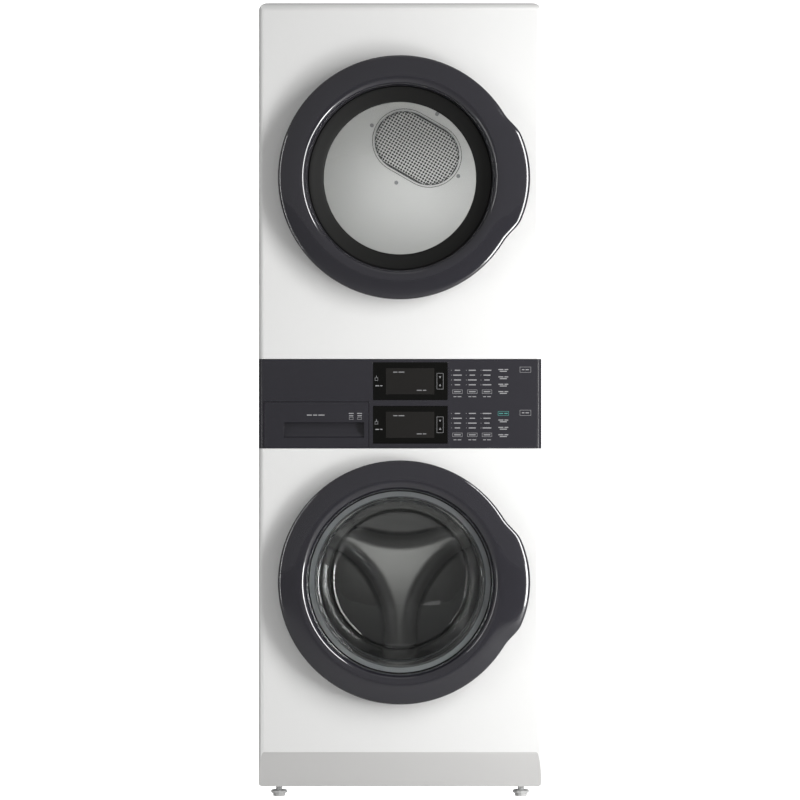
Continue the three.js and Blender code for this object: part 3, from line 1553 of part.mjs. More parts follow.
piece(
  "dryer_motor",
  cut(
    join(
      rod(
        DRYER_MOTOR_RADIUS,
        DRYER_MOTOR_FRONT,
        DRYER_MOTOR_REAR,
        BLOWER_X,
        BLOWER_AXIS,
        LARGE_ROUND,
      ),
      box(
        BLOWER_X - 40,
        BLOWER_X + 40,
        DRYER_MOTOR_FRONT + 14,
        DRYER_MOTOR_REAR - 14,
        DECK_FLOOR,
        BLOWER_AXIS - 30,
      ),
    ),
    rod(DRYER_SHAFT + 1, DRYER_MOTOR_FRONT - 6, DRYER_MOTOR_REAR + 4, BLOWER_X, BLOWER_AXIS),
  ),
  ZINC_STEEL,
);
piece(
  "dryer_belt",
  belt(
    [0, DRYER_AXIS, DRYER_DRUM_RADIUS],
    [BLOWER_X, BLOWER_AXIS, BELT_PULLEY_RADIUS],
    BELT_DEPTH,
    BELT_DEPTH + BELT_WIDTH,
    { slack: 1, thickness: 2.5, steps: 34 },
  ),
  BELT_RUBBER,
);

// ---- Lint filter ----------------------------------------------------------------------------

const FILTER_HALF = 130;
const FILTER_BOTTOM = 1120;
const FILTER_TOP = DRYER_AXIS - 202;
const FILTER_FRAME = 8;
const FILTER_FRONT = 25;
const FILTER_REAR = 36;
const MESH_THICKNESS = 1.2;
const meshPocket = (x0, x1) =>
  box(
    x0,
    x1,
    FILTER_FRONT - 1,
    FILTER_REAR - MESH_THICKNESS,
    FILTER_BOTTOM + FILTER_FRAME,
    FILTER_TOP - 22,
  );
piece(
  "lint_filter",
  cut(
    box(-FILTER_HALF, FILTER_HALF, FILTER_FRONT, FILTER_REAR, FILTER_BOTTOM, FILTER_TOP),
    meshPocket(-FILTER_HALF + FILTER_FRAME, -3),
    meshPocket(3, FILTER_HALF - FILTER_FRAME),
    box(-60, 60, FILTER_FRONT - 1, FILTER_REAR - 4, FILTER_TOP - 16, FILTER_TOP - 6),
  ),
  WHITE_PLASTIC,
);

export default root;
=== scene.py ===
import math

import bmesh
import bpy
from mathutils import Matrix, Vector


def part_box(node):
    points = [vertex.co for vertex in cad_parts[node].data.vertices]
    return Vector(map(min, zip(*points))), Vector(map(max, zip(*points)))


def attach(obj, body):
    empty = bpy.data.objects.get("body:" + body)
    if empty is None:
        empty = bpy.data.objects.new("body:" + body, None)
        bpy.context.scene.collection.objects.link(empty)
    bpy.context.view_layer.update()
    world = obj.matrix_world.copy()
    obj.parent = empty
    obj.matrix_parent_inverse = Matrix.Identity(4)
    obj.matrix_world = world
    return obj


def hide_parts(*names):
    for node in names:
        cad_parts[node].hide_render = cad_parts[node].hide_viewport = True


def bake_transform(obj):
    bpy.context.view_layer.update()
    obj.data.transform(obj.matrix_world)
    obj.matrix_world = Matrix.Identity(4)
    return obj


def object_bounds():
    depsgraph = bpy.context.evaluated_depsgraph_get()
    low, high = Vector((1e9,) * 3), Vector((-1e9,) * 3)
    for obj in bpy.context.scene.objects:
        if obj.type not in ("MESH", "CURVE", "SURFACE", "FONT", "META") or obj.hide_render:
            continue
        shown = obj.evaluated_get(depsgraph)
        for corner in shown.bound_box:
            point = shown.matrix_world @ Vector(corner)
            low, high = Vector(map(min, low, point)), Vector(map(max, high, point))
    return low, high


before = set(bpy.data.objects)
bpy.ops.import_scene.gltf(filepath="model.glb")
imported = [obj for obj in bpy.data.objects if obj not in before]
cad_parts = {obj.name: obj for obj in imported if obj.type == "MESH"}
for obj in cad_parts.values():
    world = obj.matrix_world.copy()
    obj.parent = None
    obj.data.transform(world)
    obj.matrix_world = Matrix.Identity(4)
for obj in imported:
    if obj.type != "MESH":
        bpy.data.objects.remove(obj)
cad_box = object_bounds()

# ---- Camera and studio ----
# The tower stands on a pale floor in a white room. A tall soft light on the right makes the broad
# gradient on the white sheet, and two strip lights draw the thin arcs on the glossy door rings.

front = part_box("dryer_front_panel")[0][1]
middle_height = cad_box[1][2] / 2
view_distance = 6.7
seen_height = 1.936

camera = bpy.data.objects.new("camera", bpy.data.cameras.new("camera"))
camera.data.lens = camera.data.sensor_width * view_distance / seen_height
camera.location = (0, front - view_distance, middle_height)
camera.rotation_euler = (math.radians(90), 0, 0)
bpy.context.collection.objects.link(camera)
bpy.context.scene.camera = camera
bpy.context.scene.view_settings.view_transform = "Standard"

world = bpy.data.worlds.new("white_room")
bpy.context.scene.world = world
world.use_nodes = True
room = world.node_tree
room_fill = room.nodes["Background"]
room_fill.inputs["Color"].default_value = (1, 1, 1, 1)
room_fill.inputs["Strength"].default_value = 0.31
room_white = room.nodes.new("ShaderNodeBackground")
room_white.inputs["Strength"].default_value = 2.0
room_rays = room.nodes.new("ShaderNodeLightPath")
room_mix = room.nodes.new("ShaderNodeMixShader")
room.links.new(room_rays.outputs["Is Camera Ray"], room_mix.inputs["Fac"])
room.links.new(room_fill.outputs["Background"], room_mix.inputs[1])
room.links.new(room_white.outputs["Background"], room_mix.inputs[2])
room.links.new(room_mix.outputs["Shader"], room.nodes["World Output"].inputs["Surface"])


def soft_light(name, place, aim, width, height, power):
    light = bpy.data.lights.new(name, "AREA")
    light.shape = "RECTANGLE"
    light.size = width
    light.size_y = height
    light.energy = power
    lamp = bpy.data.objects.new(name, light)
    lamp.location = place
    lamp.rotation_euler = (Vector(aim) - Vector(place)).to_track_quat("-Z", "Y").to_euler()
    lamp.visible_camera = False
    bpy.context.collection.objects.link(lamp)


soft_light("key_light", (1.66, front - 1.32, 1.30), (0, front, 1.10), 0.42, 2.6, 49.5)
soft_light("low_key_light", (1.60, front - 1.50, 0.35), (0.1, front, 0.30), 0.42, 0.6, 7)
soft_light("left_strip", (-2.2, -1.9, 1.2), (0, front, 1.0), 0.12, 2.6, 11)
soft_light("top_light", (0.2, -0.9, 3.8), (0, 0, 1.0), 1.6, 1.2, 1.2)
soft_light("rear_light", (-2.2, 3.4, 1.5), (0, 0, 1.0), 1.4, 2.2, 45)
soft_light("dryer_lamp", (0.05, -0.28, 1.56), (0, 0.3, 1.46), 0.34, 0.22, 1.65)
soft_light("washer_lamp", (-0.02, -0.235, 0.56), (0.0, 0.2, 0.525), 0.24, 0.20, 0.26)

floor_mesh = bpy.data.meshes.new("floor")
floor_mesh.from_pydata([(-30, -30, 0), (30, -30, 0), (30, 30, 0), (-30, 30, 0)], [], [(0, 1, 2, 3)])
floor = bpy.data.objects.new("floor", floor_mesh)
bpy.context.collection.objects.link(floor)
floor_paint = bpy.data.materials.new("pale_floor")
floor_paint.use_nodes = True
floor_shader = floor_paint.node_tree.nodes["Principled BSDF"]
floor_shader.inputs["Base Color"].default_value = (0.6, 0.6, 0.6, 1)
floor_shader.inputs["Roughness"].default_value = 0.7
floor_mesh.materials.append(floor_paint)
floor.visible_camera = False

# ---- Side wrappers, rear covers and top cover ----
# The cabinet is folded steel sheet. The outside is baked white enamel with a faint orange peel,
# and the inner and rear sheet is left galvanised, with its cloudy spangle.


def finish(name, colour, roughness, metallic=0.0, grain=60.0, relief=0.0, shade=0.04, also=None):
    """A material with a little uneven colour, roughness and relief, all from one noise."""
    material = bpy.data.materials.new(name)
    material.use_nodes = True
    tree = material.node_tree
    shader = tree.nodes["Principled BSDF"]
    shader.inputs["Metallic"].default_value = metallic
    for socket, value in (also or {}).items():
        shader.inputs[socket].default_value = value
    place = tree.nodes.new("ShaderNodeTexCoord")
    noise = tree.nodes.new("ShaderNodeTexNoise")
    noise.inputs["Scale"].default_value = grain
    noise.inputs["Detail"].default_value = 3
    tree.links.new(place.outputs["Object"], noise.inputs["Vector"])
    tint = tree.nodes.new("ShaderNodeMix")
    tint.data_type = "RGBA"
    tint.inputs["A"].default_value = (*[c * (1 - shade) for c in colour], 1)
    tint.inputs["B"].default_value = (*[min(1, c * (1 + shade)) for c in colour], 1)
    tree.links.new(noise.outputs["Fac"], tint.inputs["Factor"])
    tree.links.new(tint.outputs["Result"], shader.inputs["Base Color"])
    uneven = tree.nodes.new("ShaderNodeMapRange")
    uneven.inputs["To Min"].default_value = roughness * 0.88
    uneven.inputs["To Max"].default_value = roughness * 1.12
    tree.links.new(noise.outputs["Fac"], uneven.inputs["Value"])
    tree.links.new(uneven.outputs["Result"], shader.inputs["Roughness"])
    if relief:
        bump = tree.nodes.new("ShaderNodeBump")
        bump.inputs["Strength"].default_value = relief
        bump.inputs["Distance"].default_value = 0.0006
        tree.links.new(noise.outputs["Fac"], bump.inputs["Height"])
        tree.links.new(bump.outputs["Normal"], shader.inputs["Normal"])
    return material


enamel = finish("white_enamel", (0.86, 0.86, 0.85), 0.33, grain=420, relief=0.04, shade=0.01)
galvanised = finish("galvanised_sheet", (0.55, 0.57, 0.58), 0.42, 0.85, grain=26, relief=0.05, shade=0.16)


def paint(material, *names):
    """Puts a material on pieces that keep their plain shape."""
    for name in names:
        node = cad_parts[name]
        for place in node.material_slots:
            place.material = material
        if not node.material_slots:
            node.data.materials.append(material)


paint(enamel, "washer_wrapper", "dryer_wrapper", "top_cover")
paint(
    galvanised,
    "washer_rear_cover",
    "dryer_rear_cover",
    "base_frame",
    "middle_deck",
    "dryer_front_bulkhead",
    "heater_box",
    "blower_housing",
)

# ---- Front panels ----
# Each front is one pressed sheet of enamelled steel: a flat field whose upright edges roll back,
# with a turned-in rim round the door opening. The dryer's top edge rolls into the cover.

half_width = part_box("dryer_front_panel")[1][0]
panel_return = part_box("dryer_front_panel")[1][1] - front
sheet = 0.0012
edge_radius = 0.014
arc_steps = 14


def arc(across, up, radius, start, stop, steps=arc_steps):
    """Points round a corner, with the angles in degrees."""
    turns = [math.radians(start + (stop - start) * i / steps) for i in range(steps + 1)]
    return [(across + radius * math.cos(t), up + radius * math.sin(t)) for t in turns]


def add_mesh(name, points, faces, material):
    mesh = bpy.data.meshes.new(name)
    mesh.from_pydata(points, [], faces)
    mesh.materials.append(material)
    piece = bpy.data.objects.new(name, mesh)
    bpy.context.collection.objects.link(piece)
    build = bmesh.new()
    build.from_mesh(mesh)
    bmesh.ops.remove_doubles(build, verts=build.verts, dist=1e-7)
    bmesh.ops.recalc_face_normals(build, faces=build.faces)
    build.to_mesh(mesh)
    build.free()
    return piece


def prism(name, outline, place, start, stop, material=enamel):
    """An outline drawn from start to stop. place turns its two values and the reach into a point."""
    count = len(outline)
    points = [place(a, b, reach) for reach in (start, stop) for a, b in outline]
    sides = [(i, (i + 1) % count, count + (i + 1) % count, count + i) for i in range(count)]
    ends = [tuple(range(count)), tuple(range(count, 2 * count))]
    return add_mesh(name, points, sides + ends, material)


def along_z(a, b, reach):
    return (a, b, reach)


def along_y(a, b, reach):
    return (a, reach, b)


def along_x(a, b, reach):
    return (reach, a, b)


def merge(piece, other, how):
    """Joins, cuts or intersects a piece with another, which is used up."""
    step = piece.modifiers.new(how, "BOOLEAN")
    step.operation = how
    step.solver = "EXACT"
    step.object = other
    bpy.context.view_layer.update()
    made = bpy.data.meshes.new_from_object(piece.evaluated_get(bpy.context.evaluated_depsgraph_get()))
    piece.modifiers.clear()
    made.name = piece.name
    piece.data = made
    bpy.data.objects.remove(other)
    return piece


def shade(piece, angle=32):
    """Smooth shading up to the real edges. Wide flat faces keep their own normals."""
    piece.data.shade_smooth()
    piece.data.set_sharp_from_angle(angle=math.radians(angle))
    even = piece.modifiers.new("even_normals", "WEIGHTED_NORMAL")
    even.keep_sharp = True
    return piece


def round_rod(name, x, z, radius, start, stop, steps=128, material=enamel):
    return prism(name, arc(x, z, radius, 0, 360 - 360 / steps, steps - 1), along_y, start, stop, material)


def panel_plan(inset):
    half = half_width - inset
    radius = edge_radius - inset
    back = front + panel_return + inset
    return [
        (half, back),
        (-half, back),
        *arc(-half + radius, front + inset + radius, radius, 180, 270),
        *arc(half - radius, front + inset + radius, radius, 270, 360),
    ]


def panel_outline(inset, bottom, top, low_radius, high_radius):
    half = half_width - inset
    low = max(low_radius - inset, 0.0004)
    high = max(high_radius - inset, 0.0004)
    bottom += inset
    top -= inset
    return [
        *arc(-half + low, bottom + low, low, 180, 270),
        *arc(half - low, bottom + low, low, 270, 360),
        *arc(half - high, top - high, high, 0, 90),
        *arc(-half + high, top - high, high, 90, 180),
    ]


def pressed_panel(name, side, bottom, top, wall, low_radius, high_radius, material):
    """A shallow tray: the plan, the side and the front outline intersected, outside less inside."""
    shells = []
    for inset in (0, wall):
        shell = prism(name, panel_plan(inset), along_z, bottom - 0.001, top + 0.001, material)
        across = prism("side", side(inset, bottom, top), along_x, -half_width - 0.01, half_width + 0.01)
        outline = panel_outline(inset, bottom, top, low_radius, high_radius)
        face = prism("face", outline, along_y, front - 0.01, front + panel_return + 0.01)
        shells.append(merge(merge(shell, across, "INTERSECT"), face, "INTERSECT"))
    return merge(shells[0], shells[1], "DIFFERENCE")


# The kick face is the same white enamel, painted a darker grey here: painted shade, as the face tips down
# towards the floor.
kick_enamel_painted_shade = finish("kick_enamel_painted_shade", (0.62, 0.615, 0.605), 0.36, grain=420, relief=0.04, shade=0.01)
kick_setback = 0.012
kick_height = 0.109
kick_blend = 0.004


def washer_side(inset, bottom, top):
    back = front + panel_return + inset
    return [
        (front + inset, top - inset),
        (front + inset, kick_height + kick_blend),
        (front + inset + 0.0008, kick_height),
        (front + kick_setback + inset, bottom + inset),
        (back, bottom + inset),
        (back, top - inset),
    ]


top_radius = 0.023


def dryer_side(inset, bottom, top):
    back = front + panel_return + inset
    radius = top_radius - inset
    return [
        (back, top - inset),
        *arc(front + inset + radius, top - inset - radius, radius, 90, 180),
        (front + inset, bottom + inset),
        (back, bottom + inset),
    ]


def door_opening(panel, radius, height):
    """Turned-in rim, and the slot that the door's catch goes through."""
    depth = front + 0.018
    rim = round_rod("rim", 0, height, radius + sheet, front + sheet / 2, depth)
    merge(panel, rim, "UNION")
    merge(panel, round_rod("opening", 0, height, radius, front - 0.01, depth + 0.01), "DIFFERENCE")
    low, high = height - 0.012, height + 0.012
    slot = [(0.238, low), (0.264, low), (0.264, high), (0.238, high)]
    merge(panel, prism("slot", slot, along_y, front - 0.01, front + sheet * 2), "DIFFERENCE")


washer_axis = (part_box("washer_drum")[0][2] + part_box("washer_drum")[1][2]) / 2
dryer_axis = (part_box("dryer_drum")[0][2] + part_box("dryer_drum")[1][2]) / 2

for name, side, radius, height, low, high in (
    ("washer_front_panel", washer_side, 0.222, washer_axis, 0.010, 0.0),
    ("dryer_front_panel", dryer_side, 0.215, dryer_axis, 0.0, 0.024),
):
    bottom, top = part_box(name)[0][2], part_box(name)[1][2]
    panel = pressed_panel(name + "_pressed", side, bottom, top, sheet, low, high, enamel)
    door_opening(panel, radius, height)
    # Faces that look forward and tip down take the darker enamel: painted shade on the kick face.
    if side is washer_side:
        panel.data.materials.append(kick_enamel_painted_shade)
        for face in panel.data.polygons:
            if face.normal.y < -0.9 and face.normal.z < -0.1:
                face.material_index = len(panel.data.materials) - 1
    shade(panel)
    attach(panel, "cabinet")
    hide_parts(name)

# ---- Door rings ----
# Each ring is a thick moulding in glossy dark grey, crowned across its face. On the right it
# swells into a grip with a pocket behind it. It snaps on over the door's back.

door_radius = 0.294
window_radius = 0.2215
rise = 0.0195
grip_half_angle = 26
ring_steps = 240
ring_grey = finish(
    "glossy_ring_plastic",
    (0.019, 0.018, 0.024),
    0.13,
    grain=90,
    shade=0.03,
    also={"Coat Weight": 1.0, "Coat Roughness": 0.03},
)
black_plastic = finish(
    "black_plastic",
    (0.010, 0.010, 0.0095),
    0.5,
    grain=500,
    relief=0.08,
    also={"Specular IOR Level": 0.2},
)


def smooth(value):
    value = min(1, max(0, value))
    return value * value * (3 - 2 * value)


def flowing(points, steps=6):
    """A smooth line through the points."""
    line = []
    for i in range(len(points) - 1):
        before, here = points[max(i - 1, 0)], points[i]
        there, after = points[i + 1], points[min(i + 2, len(points) - 1)]
        for step in range(steps):
            t = step / steps
            line.append(
                tuple(
                    0.5
                    * (
                        2 * h
                        + (n - b) * t
                        + (2 * b - 5 * h + 4 * n - a) * t * t
                        + (3 * h - b - 3 * n + a) * t**3
                    )
                    for b, h, n, a in zip(before, here, there, after)
                )
            )
    return [*line, points[-1]]


def turned(name, profile, height, material, steps=160, shape=None, x=0.0):
    """A closed profile of (radius, depth) turned about a front-to-back axis. shape may move a point."""
    points = []
    for i in range(steps):
        turn = 2 * math.pi * i / steps
        for radius, depth in profile:
            point = (radius * math.cos(turn), depth, radius * math.sin(turn))
            px, depth, pz = shape(*point) if shape else point
            points.append((x + px, front + depth, height + pz))
    rows = len(profile)
    faces = []
    for i in range(steps):
        j = (i + 1) % steps
        for k in range(rows):
            m = (k + 1) % rows
            faces.append((i * rows + k, i * rows + m, j * rows + m, j * rows + k))
    return add_mesh(name, points, faces, material)


def gripped(px, depth, pz):
    """Moves a point of the ring outwards where the grip swells."""
    radius = math.hypot(px, pz)
    angle = abs(math.degrees(math.atan2(pz, px)))
    crown = 1 - 0.38 * (angle / grip_half_angle) ** 2
    swell = rise * crown * (1 - smooth((angle - grip_half_angle + 6.5) / 12.5))
    share = smooth((radius - window_radius - 0.012) / (door_radius - window_radius - 0.020))
    grown = 1 + max(0, swell) * share / radius
    return px * grown, depth, pz * grown


ring_face = flowing(
    [
        (0.294, -0.018),
        (0.294, -0.036),
        (0.2925, -0.0405),
        (0.287, -0.0438),
        (0.276, -0.0470),
        (0.263, -0.0497),
        (0.250, -0.0513),
        (0.240, -0.0508),
        (0.2325, -0.0478),
        (0.2265, -0.0420),
        (0.223, -0.0340),
        (0.2215, -0.0250),
    ]
)
ring_section = [
    (0.291, -0.008),
    *ring_face,
    (0.2245, -0.0250),
    (0.2275, -0.0370),
    (0.2400, -0.0478),
    (0.2500, -0.0485),
    (0.2840, -0.0410),
    (0.2910, -0.0340),
    (0.2910, -0.0180),
    (0.2880, -0.008),
]


def boxed(name, low, high, material=enamel):
    (x0, y0, z0), (x1, y1, z1) = low, high
    return prism(name, [(x0, z0), (x1, z0), (x1, z1), (x0, z1)], along_y, y0, y1, material)


def cut_arm_slots(piece, height, reach):
    """Slots above and below the middle that the hinge's arms pass through."""
    for low, high in ((-0.057, -0.043), (0.043, 0.057)):
        slot = boxed("slot", (-0.30, front - 0.033, height + low), (reach, front + 0.01, height + high))
        merge(piece, slot, "DIFFERENCE")


for kind, height in (("washer", washer_axis), ("dryer", dryer_axis)):
    ring = turned(kind + "_ring_moulding", ring_section, height, ring_grey, ring_steps, gripped)
    cut_arm_slots(ring, height, -0.243)
    pocket = boxed("pocket", (0.286, front - 0.026, height - 0.062), (0.32, front + 0.01, height + 0.062))
    merge(ring, pocket, "DIFFERENCE")
    shade(ring)
    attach(ring, kind + "_door")
    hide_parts(kind + "_door_ring")

# ---- Door backs and hinges ----
# The back of each door is a black moulded plate that the glass and the hinge leaf are screwed to.
# The dryer's slopes down to its window as a wide black frame.

dryer_back = [
    (0.2865, -0.008),
    (0.2865, -0.011),
    (0.230, -0.011),
    (0.2275, -0.0125),
    (0.2225, -0.0205),
    (0.2195, -0.0222),
    (0.2145, -0.0212),
    (0.2100, -0.0193),
    (0.1960, -0.0148),
    (0.1880, -0.0122),
    (0.1852, -0.0108),
    (0.1840, -0.0092),
    (0.1840, -0.0080),
    (0.1940, -0.0080),
    (0.2160, -0.0160),
    (0.2210, -0.0080),
]
washer_back = [
    (0.2865, -0.008),
    (0.2865, -0.011),
    (0.227, -0.011),
    (0.225, -0.019),
    (0.206, -0.019),
    (0.206, -0.016),
    (0.221, -0.016),
    (0.223, -0.008),
]
latch_pin_depth = -0.017
for kind, height, profile in (("washer", washer_axis, washer_back), ("dryer", dryer_axis, dryer_back)):
    back = turned(kind + "_back_plate", profile, height, black_plastic)
    cut_arm_slots(back, height, -0.246)
    if kind == "washer":
        gap = boxed("gap", (0.241, front - 0.012, height - 0.0065), (0.262, front + 0.01, height + 0.0065))
        merge(back, gap, "DIFFERENCE")
        for side in (-1, 1):
            low, high = sorted((side * 0.007, side * 0.012))
            post = boxed("post", (0.245, front - 0.021, height + low), (0.255, front - 0.009, height + high))
            merge(back, post, "UNION")
        pin = prism(
            "pin",
            arc(0.25, front + latch_pin_depth, 0.0025, 0, 345, 23),
            along_z,
            height - 0.009,
            height + 0.009,
        )
        merge(back, pin, "UNION")
    else:
        low, high = height - 0.008, height + 0.008
        strike = boxed("strike", (0.25, front - 0.010, low), (0.256, front + 0.016, high))
        merge(back, strike, "UNION")
    shade(back)
    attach(back, kind + "_door")
    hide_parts(kind + "_door_back")

zinc = finish("zinc_plated_steel", (0.60, 0.61, 0.63), 0.3, 0.95, grain=160, relief=0.04, shade=0.06)
paint(
    zinc,
    "washer_hinge_bracket",
    "dryer_hinge_bracket",
    "washer_hinge_leaf",
    "dryer_hinge_leaf",
    "washer_latch_hook",
    "motor_pulley",
    "dryer_motor_pulley",
    "damper_rod_left",
    "damper_rod_right",
)

# ---- Door glasses ----
# The washer's is a heavy pressed glass bowl that keeps the laundry in the drum, with a wide
# flange clamped in the door. The dryer's is a shallow dished pane.

clear_glass = finish(
    "clear_glass",
    (0.80, 0.82, 0.82),
    0.02,
    grain=30,
    shade=0.01,
    also={"Transmission Weight": 1.0, "IOR": 1.46},
)
bowl_inside = flowing(
    [
        (0.2190, -0.0235),
        (0.2060, -0.0235),
        (0.2005, -0.0222),
        (0.1955, -0.0150),
        (0.1915, 0.0000),
        (0.1830, 0.0380),
        (0.1745, 0.0740),
        (0.1690, 0.0880),
        (0.1560, 0.0965),
        (0.1200, 0.1000),
        (0.0600, 0.1025),
        (0.0, 0.1035),
    ]
)
bowl_outside = flowing(
    [
        (0.0, 0.1085),
        (0.0600, 0.1075),
        (0.1210, 0.1050),
        (0.1590, 0.1010),
        (0.1735, 0.0905),
        (0.1790, 0.0745),
        (0.1873, 0.0385),
        (0.1958, 0.0000),
        (0.1995, -0.0135),
        (0.2035, -0.0188),
        (0.2060, -0.0195),
        (0.2190, -0.0195),
    ]
)
washer_glass = turned("washer_glass_bowl", [*bowl_inside, *bowl_outside], washer_axis, clear_glass)
pane_inside = flowing([(0.193, -0.0075), (0.186, -0.0072), (0.150, 0.0010), (0.080, 0.0110), (0.0, 0.0145)])
pane_outside = flowing([(0.0, 0.0185), (0.080, 0.0150), (0.150, 0.0050), (0.187, -0.0034), (0.193, -0.0035)])
dryer_glass = turned("dryer_glass_pane", [*pane_inside, *pane_outside], dryer_axis, clear_glass)
for kind, glass in (("washer", washer_glass), ("dryer", dryer_glass)):
    shade(glass)
    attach(glass, kind + "_door")
    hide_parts(kind + "_door_glass")

# ---- Console ----
# One wide moulding in dark grey, with the same rolled ends as the sheet above and below it. It
# has two windows for the displays and leaves the lower left to the detergent drawer.

console_grey = finish("console_plastic", (0.026, 0.025, 0.031), 0.24, grain=300, relief=0.02)
console_low, console_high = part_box("console_fascia")
drawer_low, drawer_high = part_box("drawer_front")
window_gap = 0.0004


def console_side(inset, bottom, top):
    back = front + panel_return + inset
    bevel = 0.004
    return [
        (front + inset, bottom + bevel + inset),
        (front + inset + bevel / 2, bottom + inset),
        (back, bottom + inset),
        (back, top - inset),
        (front + inset + bevel / 2, top - inset),
        (front + inset, top - bevel - inset),
    ]


fascia = pressed_panel(
    "console_moulding", console_side, console_low[2], console_high[2], 0.003, 0, 0, console_grey
)
merge(
    fascia,
    boxed(
        "bay",
        (drawer_low[0] - 0.001, front - 0.05, drawer_low[2] - 0.01),
        (drawer_high[0] + 0.001, front + 0.05, drawer_high[2] + 0.001),
    ),
    "DIFFERENCE",
)
for kind in ("washer", "dryer"):
    low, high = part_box(kind + "_display")
    window = boxed(
        "window",
        (low[0] - window_gap, front - 0.01, low[2] - window_gap),
        (high[0] + window_gap, front + 0.006, high[2] + window_gap),
    )
    merge(fascia, window, "DIFFERENCE")
shade(fascia)
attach(fascia, "cabinet")
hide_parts("console_fascia")

# ---- Displays and touch keys ----
# Behind each glossy black window is a dim liquid crystal panel. The keys have no travel: they are
# printed words under the surface, drawn here as plain bars, with thin frames where one is pressed.

window_black = finish("window_black", (0.004, 0.004, 0.0035), 0.08, also={"Specular IOR Level": 0.18})
panel_black = finish(
    "display_panel", (0.013, 0.012, 0.011), 0.35, grain=900, also={"Specular IOR Level": 0.3}
)
legend_ink = finish("legend_ink", (0.34, 0.34, 0.35), 0.5, grain=600)
green_ink = finish("green_ink", (0.06, 0.30, 0.27), 0.5, grain=600)
paint(window_black, "washer_display", "dryer_display")
ink_depth = 0.00025


class Print:
    """Thin flat marks, gathered into one piece."""

    def __init__(self, name, material, surface):
        self.name, self.material, self.surface = name, material, surface
        self.points, self.faces = [], []

    def bar(self, x, z, width, height):
        start = len(self.points)
        for y in (self.surface, self.surface - ink_depth):
            for sx, sz in ((-1, -1), (1, -1), (1, 1), (-1, 1)):
                self.points.append((x + sx * width / 2, y, z + sz * height / 2))
        for face in ((0, 1, 2, 3), (4, 5, 6, 7), (0, 1, 5, 4), (1, 2, 6, 5), (2, 3, 7, 6), (3, 0, 4, 7)):
            self.faces.append(tuple(start + i for i in face))

    def box(self, x, z, width, height, line=0.0007):
        for side in (-1, 1):
            self.bar(x, z + side * (height - line) / 2, width, line)
            self.bar(x + side * (width - line) / 2, z, line, height - 2 * line)

    def words(self, x, z, lengths, height=0.0026, space=0.0028):
        """A line of words, each a short bar, centred on x."""
        at = x - (sum(lengths) + space * (len(lengths) - 1)) / 2
        for length in lengths:
            self.bar(at + length / 2, z, length, height)
            at += length + space

    def finish(self, body="cabinet", slot="black_glass"):
        piece = add_mesh(self.name, self.points, self.faces, self.material)
        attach(piece, body)


for kind in ("washer", "dryer"):
    low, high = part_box(kind + "_display")
    surface = low[1]
    middle = (low[2] + high[2]) / 2
    screen = Print(kind + "_liquid_crystal", panel_black, surface)
    screen.bar(0.0245, middle, 0.117, 0.063)
    screen.finish()
    marks = Print(kind + "_window_marks", legend_ink, surface - ink_depth)
    marks.box(0.097, middle, 0.016, 0.039)
    for side in (-1, 1):
        marks.bar(0.097, middle + side * 0.011, 0.0042, 0.0018)
        marks.bar(0.097, middle + side * 0.0085, 0.0022, 0.0018)
    marks.box(-0.057, middle + 0.005, 0.0075, 0.0075)
    marks.bar(-0.057, middle + 0.0105, 0.0012, 0.005)
    marks.words(-0.051, middle - 0.011, (0.009, 0.005), 0.0022)
    marks.words(-0.003, middle + 0.022, (0.010, 0.014), 0.0018)
    marks.words(0.052, middle - 0.022, (0.012, 0.008), 0.0018)
    marks.finish()

key_columns = (0.139, 0.175, 0.2105)
key_rows = 4
row_pitch = 0.0117
for kind, top_row in (("dryer", 1.0369), ("washer", 0.9325)):
    keys = Print(kind + "_key_legends", legend_ink, front)
    for column, x in enumerate(key_columns):
        for row in range(key_rows):
            length = 0.013 + 0.004 * ((column + 2 * row) % 3)
            keys.words(x, top_row - row * row_pitch, (length,), 0.0024)
            keys.bar(x - 0.0145, top_row - row * row_pitch, 0.0014, 0.0014)
        button = top_row - key_rows * row_pitch - 0.0050
        keys.box(x, button, 0.024, 0.0095)
        keys.words(x, button, (0.016,), 0.0022)
        keys.words(x, button - 0.012, (0.007, 0.009), 0.0018)
    for row in range(4):
        z = top_row - row * 0.0178
        last = 0.2500
        if kind == "washer" and row == 0:
            continue
        keys.words(last, z + 0.0018, (0.012, 0.009), 0.0022)
        keys.words(last, z - 0.0024, (0.017,), 0.0022)
    start = top_row + 0.0015
    keys.box(0.3035, start, 0.027, 0.0135)
    keys.words(0.3035, start, (0.006, 0.008), 0.0022)
    keys.finish(slot="fascia_plastic")
ready = Print("washer_ready_mark", green_ink, front)
ready.box(0.2500, 0.9325, 0.026, 0.0105)
ready.words(0.2500, 0.9325, (0.010, 0.008), 0.0022)
ready.finish(slot="fascia_plastic")

# ---- Detergent drawer ----
# The front is a thick moulding with a pull: the fingers go under a lip at its middle. The white
# tray behind it has cups for detergent, softener and bleach, and slides in a white housing.

